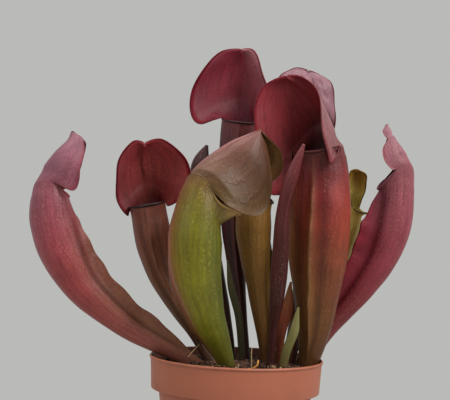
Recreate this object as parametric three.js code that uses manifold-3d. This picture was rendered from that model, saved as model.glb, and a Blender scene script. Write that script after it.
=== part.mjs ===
// Potted pitcher plant: a crown of upright pitcher leaves in a plastic nursery pot.
// Units are millimetres, +Z is up, the origin is the centre of the pot's base.
import * as THREE from "three";
import Module from "manifold-3d";

const wasm = await Module();
wasm.setup();

// Driving dimensions
const RIM_R = 60;          // outer radius of the rim bead
const RIM_Z = 100;         // overall height of the pot
const BAND_Z = 77.4;       // underside of the rim band
const BAND_R = 58.2;       // outer radius at the bottom of the band
const BODY_R = 53;         // outer radius just under the band
const BASE_R = 42;         // outer radius of the base
const WALL = 1.4;          // pot wall thickness
const FLOOR = 1.6;         // pot floor thickness
const SOIL_Z = 93;         // soil level at the pot wall
const LEAF_T = 1.1;        // thickness of a pitcher wall
const GAP = 0.35;          // clearance between touching pieces
const COLS = 16;           // columns round a pitcher
const HOOD_COLS = 4;       // columns of each half of a hood
const HOOD_ROWS = 7;       // rows from the neck to the tip of a hood
const TUBE_ROWS = 10;      // rows of rings from the foot to the mouth of a pitcher

// Small vector helpers on plain arrays
const add = (a, b, k = 1) => [a[0] + b[0] * k, a[1] + b[1] * k, a[2] + b[2] * k];
const sub = (a, b) => add(a, b, -1);
const dot = (a, b) => a[0] * b[0] + a[1] * b[1] + a[2] * b[2];
const cross = (a, b) => [
  a[1] * b[2] - a[2] * b[1],
  a[2] * b[0] - a[0] * b[2],
  a[0] * b[1] - a[1] * b[0],
];
const unit = (a) => {
  const n = Math.hypot(...a) || 1;
  return a.map((v) => v / n);
};
const smooth = (a, b, x) => {
  const t = Math.min(1, Math.max(0, (x - a) / (b - a)));
  return t * t * (3 - 2 * t);
};

// A point at t (0..1) on a smooth curve through the rows of pts
function along(pts, t) {
  const n = pts.length - 1;
  const f = Math.min(n - 1e-9, Math.max(0, t * n));
  const i = Math.floor(f);
  const w = f - i;
  const at = (k) => pts[Math.min(n, Math.max(0, k))];
  const [p0, p1, p2, p3] = [at(i - 1), at(i), at(i + 1), at(i + 2)];
  return p1.map((_, k) => 0.5 * (2 * p1[k] + (p2[k] - p0[k]) * w
    + (2 * p0[k] - 5 * p1[k] + 4 * p2[k] - p3[k]) * w * w
    + (3 * p1[k] - p0[k] - 3 * p2[k] + p3[k]) * w * w * w));
}

// Value of a height profile given as [t, height] rows
function profile(rows, t) {
  for (let i = 1; i < rows.length; i += 1) {
    const [t0, h0] = rows[i - 1];
    const [t1, h1] = rows[i];
    if (t <= t1) return h0 + (h1 - h0) * (t - t0) / (t1 - t0);
  }
  return rows[rows.length - 1][1];
}

// Frame of a leaf at t: centre, half sizes, tangent, ventral and lateral directions
function frameAt(leaf, t) {
  const s = along(leaf.stem, t);
  const d = 0.01;
  const hi = along(leaf.stem, Math.min(1, t + d));
  const lo = along(leaf.stem, Math.max(0, t - d));
  const tan = unit(sub(hi, lo));
  const ven = unit(add(leaf.face, tan, -dot(leaf.face, tan)));
  const a = Math.max(s[3], 0.3);
  const b = Math.max(s[4], 0.3);
  return { c: s.slice(0, 3), a, b, tan, ven, lat: cross(tan, ven) };
}

// One ring of a leaf; u = 0 is the dorsal line and u = pi the ventral line
function ring(leaf, t, cols, grow = 0) {
  const f = frameAt(leaf, t);
  const lift = (leaf.tilt || 0) * smooth(0.72, 1, t);
  const out = [];
  for (let j = 0; j < cols; j += 1) {
    const u = 2 * Math.PI * j / cols;
    const flare = 1 + (leaf.flare || 0) * smooth(0.9, 1, t) * smooth(0.1, -0.6, Math.cos(u));
    let p = add(f.c, f.ven, -(f.b + grow) * flare * Math.cos(u));
    p = add(p, f.lat, (f.a + grow) * flare * Math.sin(u));
    out.push(add(p, f.tan, lift * Math.cos(u)));
  }
  return out;
}

// Outward push of the ventral wing and of the dorsal keel at t
function ridges(leaf, t, cols, pts) {
  const f = frameAt(leaf, t);
  if (leaf.wing) pts[cols / 2] = add(pts[cols / 2], f.ven, profile(leaf.wing, t));
  if (leaf.keel) pts[0] = add(pts[0], f.ven, -profile(leaf.keel, t));
}

// Signed volume of a triangle soup
function volume(v, tri) {
  let s = 0;
  for (let i = 0; i < tri.length; i += 3) s += dot(v[tri[i]], cross(v[tri[i + 1]], v[tri[i + 2]]));
  return s / 6;
}

// Turn a closed triangle list outward and make it a manifold solid
function solid(verts, tris) {
  const out = volume(verts, tris) < 0 ? tris.slice().reverse() : tris;
  return new wasm.Manifold(new wasm.Mesh({
    numProp: 3,
    vertProperties: new Float32Array(verts.flat()),
    triVerts: new Uint32Array(out),
  }));
}

// A closed leaf or root: rings along the stem, capped at both ends
function loft(leaf, rows, cols, grow = 0, from = 0, to = 1) {
  const verts = [];
  const tris = [];
  for (let i = 0; i <= rows; i += 1) {
    const t = from + (to - from) * i / rows;
    const pts = ring(leaf, t, cols, grow);
    if (!grow) ridges(leaf, t, cols, pts);
    verts.push(...pts);
  }
  const id = (i, j) => i * cols + (j + cols) % cols;
  for (let i = 0; i < rows; i += 1) {
    for (let j = 0; j < cols; j += 1) {
      tris.push(id(i, j), id(i, j + 1), id(i + 1, j + 1), id(i, j), id(i + 1, j + 1), id(i + 1, j));
    }
  }
  const lo = verts.length;
  verts.push(frameAt(leaf, from).c, frameAt(leaf, to).c);
  for (let j = 0; j < cols; j += 1) {
    tris.push(lo, id(0, j + 1), id(0, j), lo + 1, id(rows, j), id(rows, j + 1));
  }
  return solid(verts, tris);
}

// One half of a hood: a patch between the neck arc, the ridge line and a margin line
function hoodHalf(arc, ridge, edge, bulge, side) {
  const rows = [];
  const K = HOOD_COLS;
  const top = ridge[ridge.length - 1];
  for (let h = 1; h < HOOD_ROWS; h += 1) {
    const t = h / HOOD_ROWS;
    const r = along(ridge, t);
    const e = along(edge, t);
    const nrm = unit(cross(sub(e, r), sub(along(ridge, t + 0.05), along(ridge, t - 0.05))));
    const line = [];
    for (let k = 0; k <= K; k += 1) {
      const s = k / K;
      const pull = Math.pow(s, 1 + 0.8 * (1 - t));
      let p = add([0, 0, 0], arc[k], 1 - t);
      p = add(p, top, t);
      p = add(p, add(r, add(add([0, 0, 0], arc[0], 1 - t), top, t), -1), 1 - s);
      p = add(p, add(e, add(add([0, 0, 0], arc[K], 1 - t), top, t), -1), pull);
      p = add(p, nrm, -side * bulge * Math.sin(Math.PI * Math.pow(s, 0.8)) * Math.sin(Math.PI * t));
      line.push(p);
    }
    rows.push(line);
  }
  return rows;
}

// An open pitcher: tube, mouth rim and hood as one thin closed shell
function pitcher(leaf) {
  const rows = TUBE_ROWS;
  const K = HOOD_COLS;
  const H = HOOD_ROWS;
  const outer = [];
  for (let i = 0; i <= rows; i += 1) outer.push(...ring(leaf, i / rows, COLS));
  const id = (i, j) => i * COLS + (j + COLS) % COLS;
  const last = outer.slice(rows * COLS);
  const neck = last[0];
  const ridgeLine = [neck, ...leaf.ridge];
  const tip = leaf.ridge[leaf.ridge.length - 1];
  const sides = [1, -1].map((sg) => {
    const arc = [];
    for (let k = 0; k <= K; k += 1) arc.push(last[(sg * k + COLS) % COLS]);
    const edge = [arc[K], ...(sg > 0 ? leaf.right : leaf.left), tip];
    return hoodHalf(arc, ridgeLine, edge, leaf.bulge || 0, sg);
  });
  const hood0 = outer.length;
  for (let h = 0; h < H - 1; h += 1) {
    for (let k = -K; k <= K; k += 1) outer.push(k < 0 ? sides[1][h][-k] : sides[0][h][k]);
  }
  const tipId = outer.length;
  outer.push(tip);
  const hid = (h, k) => (h === 0 ? id(rows, k) : h === H ? tipId : hood0 + (h - 1) * (2 * K + 1) + k + K);
  const sheet = [];
  const quad = (a, b, c, d) => {
    sheet.push(a, b, c);
    if (d !== c) sheet.push(a, c, d);
  };
  for (let i = 0; i < rows; i += 1) {
    for (let j = 0; j < COLS; j += 1) quad(id(i, j), id(i, j + 1), id(i + 1, j + 1), id(i + 1, j));
  }
  for (let h = 0; h < H; h += 1) {
    for (let k = -K; k < K; k += 1) quad(hid(h, k), hid(h, k + 1), hid(h + 1, k + 1), hid(h + 1, k));
  }
  const nrm = outer.map(() => [0, 0, 0]);
  for (let i = 0; i < sheet.length; i += 3) {
    const [a, b, c] = [sheet[i], sheet[i + 1], sheet[i + 2]];
    const n = cross(sub(outer[b], outer[a]), sub(outer[c], outer[a]));
    [a, b, c].forEach((v) => { nrm[v] = add(nrm[v], n); });
  }
  const inner = outer.map((p, i) => add(p, unit(nrm[i]), LEAF_T));
  for (let i = 0; i <= rows; i += 1) {
    const pts = outer.slice(id(i, 0), id(i, 0) + COLS);
    ridges(leaf, i / rows, COLS, pts);
    pts.forEach((p, j) => { outer[id(i, j)] = p; });
  }
  const deep = 1;
  const verts = [...outer, ...inner];
  const N = outer.length;
  const tris = sheet.slice();
  for (let i = 0; i < sheet.length; i += 3) {
    const f = [sheet[i], sheet[i + 1], sheet[i + 2]];
    if (Math.min(...f) >= deep * COLS) tris.push(f[0] + N, f[2] + N, f[1] + N);
  }
  const foot = verts.length;
  verts.push(frameAt(leaf, 0).c, frameAt(leaf, deep / rows).c);
  for (let j = 0; j < COLS; j += 1) {
    tris.push(foot, id(0, j + 1), id(0, j));
    tris.push(foot + 1, id(deep, j) + N, id(deep, j + 1) + N);
  }
  const rim = [];
  for (let j = K; j <= COLS - K; j += 1) rim.push(id(rows, j));
  for (let h = 1; h < H; h += 1) rim.push(hid(h, -K));
  rim.push(tipId);
  for (let h = H - 1; h > 0; h -= 1) rim.push(hid(h, K));
  rim.forEach((a, i) => {
    const b = rim[(i + 1) % rim.length];
    tris.push(a, b, b + N, a, b + N, a + N);
  });
  const used = [...new Set(tris)].sort((x, y) => x - y);
  const at = new Map(used.map((v, i) => [v, i]));
  return solid(used.map((v) => verts[v]), tris.map((v) => at.get(v)));
}

// Leaf data. stem rows are x, y, z, half width, half depth; face is the ventral direction;
// ridge is the hood's mid line above the neck; left and right are its margins.
const LEAVES = {
  pitcher_far_left: {
    face: [1, -0.15, 0.2], tilt: 3, flare: 0.1, bulge: 3, color: 0x7f3d44,
    stem: [[-20, -4, 90, 4, 4], [-46, -3, 103.5, 6.2, 6.2], [-76, -2, 118.5, 8.8, 9],
      [-106, -3, 143, 12.5, 13], [-122, -4, 167, 14.5, 16], [-130, -5, 189, 14.5, 16],
      [-132, -5, 208, 12.5, 13]],
    wing: [[0, 0], [0.08, 0], [0.25, 8], [0.5, 8], [0.75, 3], [0.9, 0.5], [1, 0]],
    ridge: [[-137, -5, 228], [-128, -5, 241], [-118, -5, 252]],
    left: [[-123, -19, 210], [-113, -18, 214], [-108, -14, 228], [-110, -9, 243]],
    right: [[-123, 9, 218], [-113, 10, 220], [-110, 6, 234], [-111, 0, 246]],
  },
  pitcher_left: {
    face: [-0.1, -1, 0.1], tilt: 2, flare: 0.12, bulge: 2, color: 0x6a2a2b,
    stem: [[-14, 7, 90, 4, 4], [-28, 11, 113, 5.5, 5.5], [-42, 14, 133, 7.5, 7.5],
      [-54, 17, 154, 10.5, 10.5], [-62, 20, 179, 13, 13], [-67, 22, 203, 12.5, 12]],
    wing: [[0, 0], [0.1, 0], [0.4, 4], [0.8, 3], [1, 0]],
    ridge: [[-71, 34, 224], [-74, 31, 238], [-75, 22, 245]],
    left: [[-84, 17, 196], [-90, 14, 210], [-91, 13, 227], [-84, 16, 243]],
    right: [[-50, 18, 199], [-40, 14, 207], [-39, 12, 231], [-58, 16, 248]],
  },
  pitcher_front_green: {
    face: [1, -0.3, 0], tilt: 9, flare: 0.12, bulge: 5, color: 0x6d6a33,
    stem: [[-4, -12, 90, 4, 4.5], [-13, -21, 112, 8, 8.5], [-22, -29, 133, 11.5, 12.5],
      [-29, -35, 158, 15, 16.5], [-31, -37, 183, 16, 18], [-27, -34, 209, 13.5, 14.5]],
    keel: [[0, 0], [0.08, 0], [0.3, 6], [0.6, 3], [0.75, 0], [1, 0]],
    ridge: [[-33, -31, 233], [-14, -31, 245], [10, -30, 256]],
    left: [[-10, -51, 210], [7, -47, 208], [17, -41, 222], [17, -35, 242]],
    right: [[-6, -18, 212], [12, -17, 213], [22, -20, 228], [21, -25, 244]],
  },
  pitcher_olive: {
    face: [1, -0.3, 0], tilt: 8, flare: 0.08, bulge: 3, color: 0x6b5a38,
    stem: [[22, 2, 90, 3.5, 3.5], [18, 2, 118, 5, 5], [13, 3, 145, 7, 7],
      [10, 4, 170, 10, 10.5], [8, 4, 193, 11.5, 12.5], [9, 4, 216, 10.5, 11]],
    wing: [[0, 0], [0.08, 0], [0.2, 3], [0.5, 1.5], [0.7, 0], [1, 0]],
    ridge: [[1, 5, 233], [15, 6, 237], [27, 7, 224]],
    left: [[19, -8, 214], [25, -3, 213]],
    right: [[20, 17, 217], [25, 14, 216]],
  },
  pitcher_front_right: {
    face: [-0.4, -1, 0.05], tilt: 3, flare: 0.08, bulge: 7, color: 0x6b3b32,
    stem: [[48, -4, 90, 5, 5], [52, -5, 116, 10.5, 9.5], [53, -6, 144, 15.5, 14],
      [53, -8, 171, 20.5, 17.5], [53, -8, 199, 21.5, 18.5], [53, -6, 225, 19.5, 17.5],
      [51, -5, 246, 17.5, 16.5]],
    wing: [[0, 0], [0.08, 0], [0.3, 4], [0.7, 2.5], [1, 0]],
    ridge: [[57, 11, 268], [47, 6, 286], [28, -12, 295]],
    left: [[22, -9, 237], [10, -10, 251], [6, -9, 272], [14, -9, 291]],
    right: [[57, -24, 238], [56, -21, 258], [50, -17, 279], [40, -14, 291]],
  },
  pitcher_back_pink: {
    face: [0.2, 1, 0], tilt: 3, flare: 0.08, bulge: 3, color: 0x8a5a5c,
    stem: [[36, 14, 90, 4, 4], [45, 27, 139, 7, 7], [50, 33, 196, 11, 11],
      [50, 35, 240, 13.5, 13.5], [48, 35, 266, 13, 13]],
    ridge: [[46, 22, 286], [45, 25, 299], [44, 31, 305]],
    left: [[64, 28, 262], [66, 26, 276], [64, 26, 292], [56, 29, 301]],
    right: [[28, 26, 268], [22, 26, 283], [23, 27, 298], [33, 29, 306]],
  },
  pitcher_tall_back: {
    face: [0, -1, 0.1], tilt: 2, flare: 0.1, bulge: 2, color: 0x712b35,
    stem: [[7, 16, 90, 4, 4], [3, 24, 128, 3.5, 3.5], [-3, 30, 165, 6.5, 6.5],
      [-6, 32, 195, 9, 9], [-6, 32, 230, 12, 11.5], [-4, 30, 266, 13, 12]],
    wing: [[0, 0], [0.1, 0], [0.5, 2.5], [0.9, 1.5], [1, 0]],
    ridge: [[-5, 43, 288], [-5, 39, 306], [-6, 31, 318]],
    left: [[-34, 23, 262], [-41, 21, 277], [-35, 22, 298], [-19, 26, 316]],
    right: [[16, 25, 267], [21, 23, 279], [13, 24, 294], [4, 28, 314]],
  },
  pitcher_small_yellow: {
    face: [-0.3, -1, 0], tilt: 2, flare: 0.15, bulge: 1, color: 0x77743a,
    stem: [[45, 20, 90, 2.5, 2.5], [59, 28, 125, 4, 4], [72, 35, 165, 5.5, 5.5], [80, 37, 193, 6.5, 6.5],
      [83, 38, 214, 6, 6]],
    ridge: [[83, 44, 226], [81, 41, 235]],
    left: [[75, 35, 220], [74, 34, 228], [77, 37, 234]],
    right: [[90, 35, 219], [90, 34, 227], [86, 37, 234]],
  },
  pitcher_far_right: {
    face: [-1, -0.3, 0.1], tilt: 5, flare: 0.08, bulge: 2, color: 0x743039,
    stem: [[45, 7, 90, 4, 4], [62, 13, 119, 6, 6.5], [81, 14, 143, 8, 8.5],
      [97, 13, 168, 10.5, 11], [106, 12, 194, 12.5, 13], [109, 12, 225, 11.5, 12]],
    wing: [[0, 0], [0.08, 0], [0.3, 7], [0.6, 12], [0.8, 9], [0.95, 1.5], [1, 0]],
    ridge: [[117, 14, 242], [107, 13, 251], [100, 12, 257], [98, 12, 267]],
    left: [[102, 24, 235], [97, 22, 240], [95, 19, 249], [97, 14, 259]],
    right: [[102, 1, 234], [96, 2, 237], [94, 5, 247], [96, 10, 258]],
  },
};

// Leaves with no open mouth: unopened pitchers and flat blades
const CLOSED = {
  pitcher_young_red: {
    face: [0.3, -1, 0], color: 0x6a2f35,
    stem: [[23, -12, 90, 3, 3], [24, -17, 120, 3, 3], [25, -26, 150, 5.5, 5], [26, -32, 180, 5.5, 5.5],
      [27, -35, 203, 4.5, 4.5], [32, -39, 228, 4.2, 4], [38, -42, 247, 0.8, 0.8]],
  },
  pitcher_young_dark: {
    face: [-0.3, -1, 0], color: 0x54282f,
    stem: [[-2, 17, 90, 3, 3], [-8, 26, 120, 4, 4], [-18, 36, 160, 6, 6], [-27, 38, 200, 7.5, 7],
      [-31, 37, 230, 7.5, 6], [-27, 36, 247, 1, 1]],
  },
  blade_olive: {
    face: [0, -1, 0], color: 0x5c5a30,
    stem: [[25, 11, 90, 2.6, 1.3], [22, 15, 122, 2.8, 1.3], [21, 18, 155, 3.6, 1.3],
      [19, 20, 188, 0.6, 0.6]],
  },
  blade_red_brown: {
    face: [0.2, -1, 0], color: 0x7b4433,
    stem: [[29, -5, 90, 2.6, 1.3], [30, -8, 114, 3, 1.3], [33, -10, 136, 4, 1.3], [35, -10, 154, 0.6, 0.6]],
  },
  blade_green: {
    face: [0.2, -1, 0], color: 0x7f8a45,
    stem: [[31, -14, 90, 2.6, 1.3], [34, -18, 108, 3.2, 1.3], [38, -22, 124, 3, 1.2],
      [40, -24, 138, 0.6, 0.6]],
  },
  blade_dull_red: {
    face: [0, -1, 0], color: 0x6e3a30,
    stem: [[38, 3, 90, 2, 1.2], [39, 5, 112, 2.4, 1.2], [38, 6, 136, 0.6, 0.6]],
  },
  blade_dark_green: {
    face: [0.2, -1, 0], color: 0x46502c,
    stem: [[5, 5, 90, 2, 1.2], [1, 5, 122, 2.6, 1.2], [-5, 4, 147, 2.6, 1.2], [-9, 3, 166, 0.6, 0.6]],
  },
};

// The creeping stem the leaves rise from, as a loft along X
const RHIZOME = {
  face: [0, 0, 1],
  stem: [[-32, -2, 88, 2, 1.5], [-26, -2, 89, 9, 5], [-12, 0, 90, 13, 6.3], [6, 3, 90.5, 17, 7],
    [24, 3, 90.5, 16, 6.6], [40, 5, 90, 14, 6.4], [50, 6, 89, 8, 4.8], [54, 7, 88, 2, 1.5]],
};

// A body of revolution from [radius, z] rows that start and end on the axis
function revolve(rows, segs) {
  const verts = [[0, 0, rows[0][1]]];
  const tris = [];
  const mid = rows.slice(1, -1);
  mid.forEach(([r, z]) => {
    for (let j = 0; j < segs; j += 1) {
      const a = 2 * Math.PI * j / segs;
      verts.push([r * Math.cos(a), r * Math.sin(a), z]);
    }
  });
  verts.push([0, 0, rows[rows.length - 1][1]]);
  const id = (i, j) => 1 + i * segs + j % segs;
  const end = verts.length - 1;
  for (let j = 0; j < segs; j += 1) {
    tris.push(0, id(0, j + 1), id(0, j), end, id(mid.length - 1, j), id(mid.length - 1, j + 1));
    for (let i = 0; i < mid.length - 1; i += 1) {
      tris.push(id(i, j), id(i, j + 1), id(i + 1, j + 1), id(i, j), id(i + 1, j + 1), id(i + 1, j));
    }
  }
  return solid(verts, tris);
}

// A closed upright cylinder used as a cutter
const plug = (x, y, r, z0, z1) => revolve([[0, z0], [r, z0], [r, z1], [0, z1]], 12).translate([x, y, 0]);

// The pot with a stepped rim band, a bead on the rim and drain holes in the floor
function makePot() {
  const body = revolve([
    [0, 0], [BASE_R - 1, 0], [BASE_R, 1], [BODY_R, BAND_Z], [BAND_R - 0.5, BAND_Z],
    [BAND_R, BAND_Z + 0.6], [RIM_R - 0.8, RIM_Z - 2.2], [RIM_R, RIM_Z - 1.7], [RIM_R, RIM_Z - 0.5],
    [RIM_R - 0.6, RIM_Z], [RIM_R - WALL, RIM_Z], [BAND_R - WALL, BAND_Z + WALL],
    [BODY_R - WALL, BAND_Z + WALL], [BASE_R - WALL, FLOOR], [0, FLOOR],
  ], 56);
  let pot = body;
  for (let i = 0; i < 6; i += 1) {
    const a = Math.PI * (i + 0.5) / 3;
    pot = pot.subtract(plug(22 * Math.cos(a), 22 * Math.sin(a), 4, -1, 4));
  }
  return pot;
}

// Height of the soil surface, mounded round the crown
const soilTop = (x, y) => SOIL_Z + 2.6 * Math.exp(-((x - 12) ** 2) / 1500 - (y * y) / 900)
  + 0.5 * Math.sin(x * 0.33 + 1) * Math.cos(y * 0.29) + 0.3 * Math.sin(x * 0.71 - y * 0.53);

// The soil: it fills the pot and has an uneven top
function makeSoil(cutters) {
  const segs = 36;
  const rOut = BAND_R - WALL + (RIM_R - BAND_R) * (SOIL_Z - BAND_Z) / (RIM_Z - BAND_Z) - GAP;
  const side = [
    [BASE_R - WALL - GAP, FLOOR + GAP], [BODY_R - WALL - GAP - 0.1, BAND_Z + WALL],
    [BODY_R - WALL - GAP, BAND_Z + WALL + GAP], [BAND_R - WALL - GAP - 0.1, BAND_Z + WALL + GAP],
  ];
  const top = [rOut, 50, 42, 34, 26, 18, 9];
  const verts = [[0, 0, FLOOR + GAP]];
  const rows = [...side.map(([r, z]) => [r, () => z]), ...top.map((r) => [r, soilTop])];
  rows.forEach(([r, z]) => {
    for (let j = 0; j < segs; j += 1) {
      const a = 2 * Math.PI * j / segs;
      verts.push([r * Math.cos(a), r * Math.sin(a), z(r * Math.cos(a), r * Math.sin(a))]);
    }
  });
  verts.push([0, 0, soilTop(0, 0)]);
  const id = (i, j) => 1 + i * segs + j % segs;
  const n = rows.length;
  const tris = [];
  for (let j = 0; j < segs; j += 1) {
    tris.push(0, id(0, j + 1), id(0, j), verts.length - 1, id(n - 1, j), id(n - 1, j + 1));
    for (let i = 0; i < n - 1; i += 1) {
      tris.push(id(i, j), id(i, j + 1), id(i + 1, j + 1), id(i, j), id(i + 1, j + 1), id(i + 1, j));
    }
  }
  return cutters.reduce((s, c) => s.subtract(c), solid(verts, tris));
}

// An irregular flat chip lying on the soil
function chip(x, y, size, thick, turn, sides, lift = 0) {
  const rest = Math.max(...[0, 1, 2, 3, 4, 5, 6, 7].map((k) => soilTop(
    x + size * Math.cos(k * Math.PI / 4),
    y + size * Math.sin(k * Math.PI / 4),
  )), soilTop(x, y)) + GAP + lift;
  const verts = [];
  for (let i = 0; i < 3; i += 1) {
    for (let j = 0; j < sides; j += 1) {
      const a = turn + 2 * Math.PI * j / sides;
      const r = size * [0.86, 1, 0.8][i] * (1 + 0.22 * Math.sin(3.1 * j + turn * 5));
      verts.push([x + r * Math.cos(a), y + 0.62 * r * Math.sin(a), rest + thick * [0, 0.55, 1][i]]);
    }
  }
  verts.push([x, y, rest], [x, y, rest + thick * 1.15]);
  const id = (i, j) => i * sides + j % sides;
  const tris = [];
  for (let j = 0; j < sides; j += 1) {
    tris.push(3 * sides, id(0, j + 1), id(0, j), 3 * sides + 1, id(2, j), id(2, j + 1));
    for (let i = 0; i < 2; i += 1) {
      tris.push(id(i, j), id(i, j + 1), id(i + 1, j + 1), id(i, j), id(i + 1, j + 1), id(i + 1, j));
    }
  }
  return solid(verts, tris);
}

// Group assembly
const group = new THREE.Group();
group.name = "potted_pitcher_plant";

function put(name, body, color, roughness) {
  const m = body.getMesh();
  const geo = new THREE.BufferGeometry();
  const pos = new Float32Array(m.numVert * 3);
  for (let i = 0; i < m.numVert; i += 1) {
    for (let k = 0; k < 3; k += 1) pos[i * 3 + k] = m.vertProperties[i * m.numProp + k];
  }
  geo.setAttribute("position", new THREE.BufferAttribute(pos, 3));
  geo.setIndex(new THREE.BufferAttribute(new Uint32Array(m.triVerts), 1));
  geo.computeVertexNormals();
  const mesh = new THREE.Mesh(geo, new THREE.MeshStandardMaterial({ color, roughness, metalness: 0 }));
  mesh.name = name;
  group.add(mesh);
}

const stalks = [...Object.values(LEAVES), ...Object.values(CLOSED)];
const pockets = stalks.map((leaf) => loft(leaf, 4, 10, GAP + 0.25, 0, 0.28));
const rhizome = pockets.reduce((s, c) => s.subtract(c), loft(RHIZOME, 12, 12));

put("pot", makePot(), 0xb4694f, 0.55);
put("soil", makeSoil([loft(RHIZOME, 12, 12, GAP), ...pockets]), 0x3a2a20, 0.95);
put("rhizome", rhizome, 0x5b3b2a, 0.85);
Object.entries(LEAVES).forEach(([name, leaf]) => put(name, pitcher(leaf), leaf.color, 0.5));
Object.entries(CLOSED).forEach(([name, leaf]) => put(name, loft(leaf, 9, 10), leaf.color, 0.5));
put("bark_chip_left", chip(-38, -25, 5, 2.2, 0.4, 7), 0x6b4630, 0.9);
put("bark_chip_front", chip(-22, -24, 4.2, 2, 1.3, 6), 0x4f3424, 0.9);
put("bark_chip_right", chip(24, -32, 4.6, 2.4, 2.2, 7), 0x7a5233, 0.9);
put("bark_chip_back", chip(-30, 24, 5, 2.4, 0.9, 7), 0x5d3f2b, 0.9);

export default group;
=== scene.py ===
"""Looks of the potted pitcher plant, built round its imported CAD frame."""
import math
import random
import bpy
import numpy as np
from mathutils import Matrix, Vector, noise


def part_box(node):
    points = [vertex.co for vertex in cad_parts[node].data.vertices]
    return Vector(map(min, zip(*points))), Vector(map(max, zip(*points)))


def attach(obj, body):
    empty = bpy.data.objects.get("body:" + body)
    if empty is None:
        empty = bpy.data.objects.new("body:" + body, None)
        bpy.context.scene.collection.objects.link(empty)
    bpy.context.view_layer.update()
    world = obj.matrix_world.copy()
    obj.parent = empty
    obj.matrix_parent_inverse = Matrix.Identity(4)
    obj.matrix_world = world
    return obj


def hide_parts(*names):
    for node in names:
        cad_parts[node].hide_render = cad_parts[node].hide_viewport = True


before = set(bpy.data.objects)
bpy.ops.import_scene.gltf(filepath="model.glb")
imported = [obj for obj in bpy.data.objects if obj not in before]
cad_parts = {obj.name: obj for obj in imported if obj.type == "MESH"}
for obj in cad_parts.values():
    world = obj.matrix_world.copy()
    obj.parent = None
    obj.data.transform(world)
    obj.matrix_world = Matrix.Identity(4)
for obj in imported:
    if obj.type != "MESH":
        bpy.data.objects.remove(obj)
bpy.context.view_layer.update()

MM = 0.001
COLS = 56            # columns round a pitcher
TUBE_ROWS = 84       # rows from the foot to the mouth
HOOD_ROWS = 44       # rows from the neck to the tip of the hood
NECK = COLS // 4     # columns on each side of the dorsal line that run on into the hood
SKIN = 0.9           # thickness of a pitcher wall, mm


# ---------------------------------------------------------------- small helpers
def linear(rgb):
    """A colour given as 0-255 screen values, as linear light."""
    c = np.asarray(rgb, float) / 255.0
    return np.where(c <= 0.04045, c / 12.92, ((c + 0.055) / 1.055) ** 2.4)


def colour(*rgb):
    """The same colour as an RGBA value for a shader socket."""
    return (*linear(rgb), 1.0)


def curve(points, t):
    """Points at t (0 to 1) on a smooth line through the given points."""
    p = np.asarray(points, float)
    n = len(p) - 1
    f = np.clip(np.asarray(t, float), 0, 1) * n
    i = np.minimum(f.astype(int), n - 1)
    w = (f - i)[..., None]
    p0, p1, p2, p3 = (p[np.clip(i + k, 0, n)] for k in (-1, 0, 1, 2))
    return 0.5 * (2 * p1 + (p2 - p0) * w + (2 * p0 - 5 * p1 + 4 * p2 - p3) * w ** 2
                  + (3 * p1 - p0 - 3 * p2 + p3) * w ** 3)


def unit(v):
    """Vectors brought to length 1."""
    return v / np.maximum(np.linalg.norm(v, axis=-1, keepdims=True), 1e-9)


def ease(a, b, x):
    """Rises smoothly from 0 at a to 1 at b."""
    t = np.clip((np.asarray(x, float) - a) / (b - a), 0, 1)
    return t * t * (3 - 2 * t)


def bell(x, centre, width):
    """A hump of height 1 round the centre."""
    return np.exp(-((np.asarray(x, float) - centre) / width) ** 2)


def wobble(points, size, seed):
    """Smooth noise, -1 to 1, at each point; size is the width of a lump in mm."""
    shift = Vector((seed * 13.7, seed * 5.1, seed * 9.3))
    flat = np.asarray(points, float).reshape(-1, 3)
    out = np.array([noise.noise(Vector(p) / size + shift) for p in flat])
    return out.reshape(np.shape(points)[:-1])


# ---------------------------------------------------------------- mesh making
def make_object(name, verts, faces, material, grain=None, tint=None, zone=None, smooth=True):
    """A mesh object from points in mm, with optional UV, colour and zone data per point."""
    mesh = bpy.data.meshes.new(name)
    mesh.from_pydata((np.asarray(verts, float) * MM).tolist(), [], [list(map(int, f)) for f in faces])
    mesh.update()
    mesh.polygons.foreach_set("use_smooth", [smooth] * len(mesh.polygons))
    loops = np.zeros(len(mesh.loops), int)
    mesh.loops.foreach_get("vertex_index", loops)
    if grain is not None:
        layer = mesh.uv_layers.new(name="grain")
        uv = np.asarray(grain, float)[loops].reshape(len(loops), 2)
        starts = np.zeros(len(mesh.polygons), int)
        counts = np.zeros(len(mesh.polygons), int)
        mesh.polygons.foreach_get("loop_start", starts)
        mesh.polygons.foreach_get("loop_total", counts)
        for s, n in zip(starts, counts):
            span = uv[s:s + n, 0]
            if span.max() - span.min() > 0.5 * GRAIN_ROUND:
                span[span < 0] += GRAIN_ROUND
        layer.data.foreach_set("uv", uv.ravel())
    for label, data in (("tint", tint), ("zone", zone)):
        if data is not None:
            attr = mesh.color_attributes.new(name=label, type="FLOAT_COLOR", domain="POINT")
            rgba = np.ones((len(mesh.vertices), 4))
            rgba[:, :np.shape(data)[1]] = data
            attr.data.foreach_set("color", rgba.ravel())
    mesh.materials.append(material)
    obj = bpy.data.objects.new(name, mesh)
    bpy.context.scene.collection.objects.link(obj)
    return obj


def settle(obj, slot, *nodes):
    """Hands a finished piece to the frame: hangs it on the root body and hides the CAD nodes it stands for.
    The slot argument is not used.
    """
    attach(obj, "root")
    if nodes:
        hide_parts(*nodes)
    return obj


def grid_faces(rows, cols, wrap, start=0):
    """Quads of a grid of points stored row by row; wrap joins the last column to the first."""
    faces = []
    for i in range(rows - 1):
        for j in range(cols if wrap else cols - 1):
            k = (j + 1) % cols
            faces.append((start + i * cols + j, start + (i + 1) * cols + j,
                          start + (i + 1) * cols + k, start + i * cols + k))
    return faces


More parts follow.
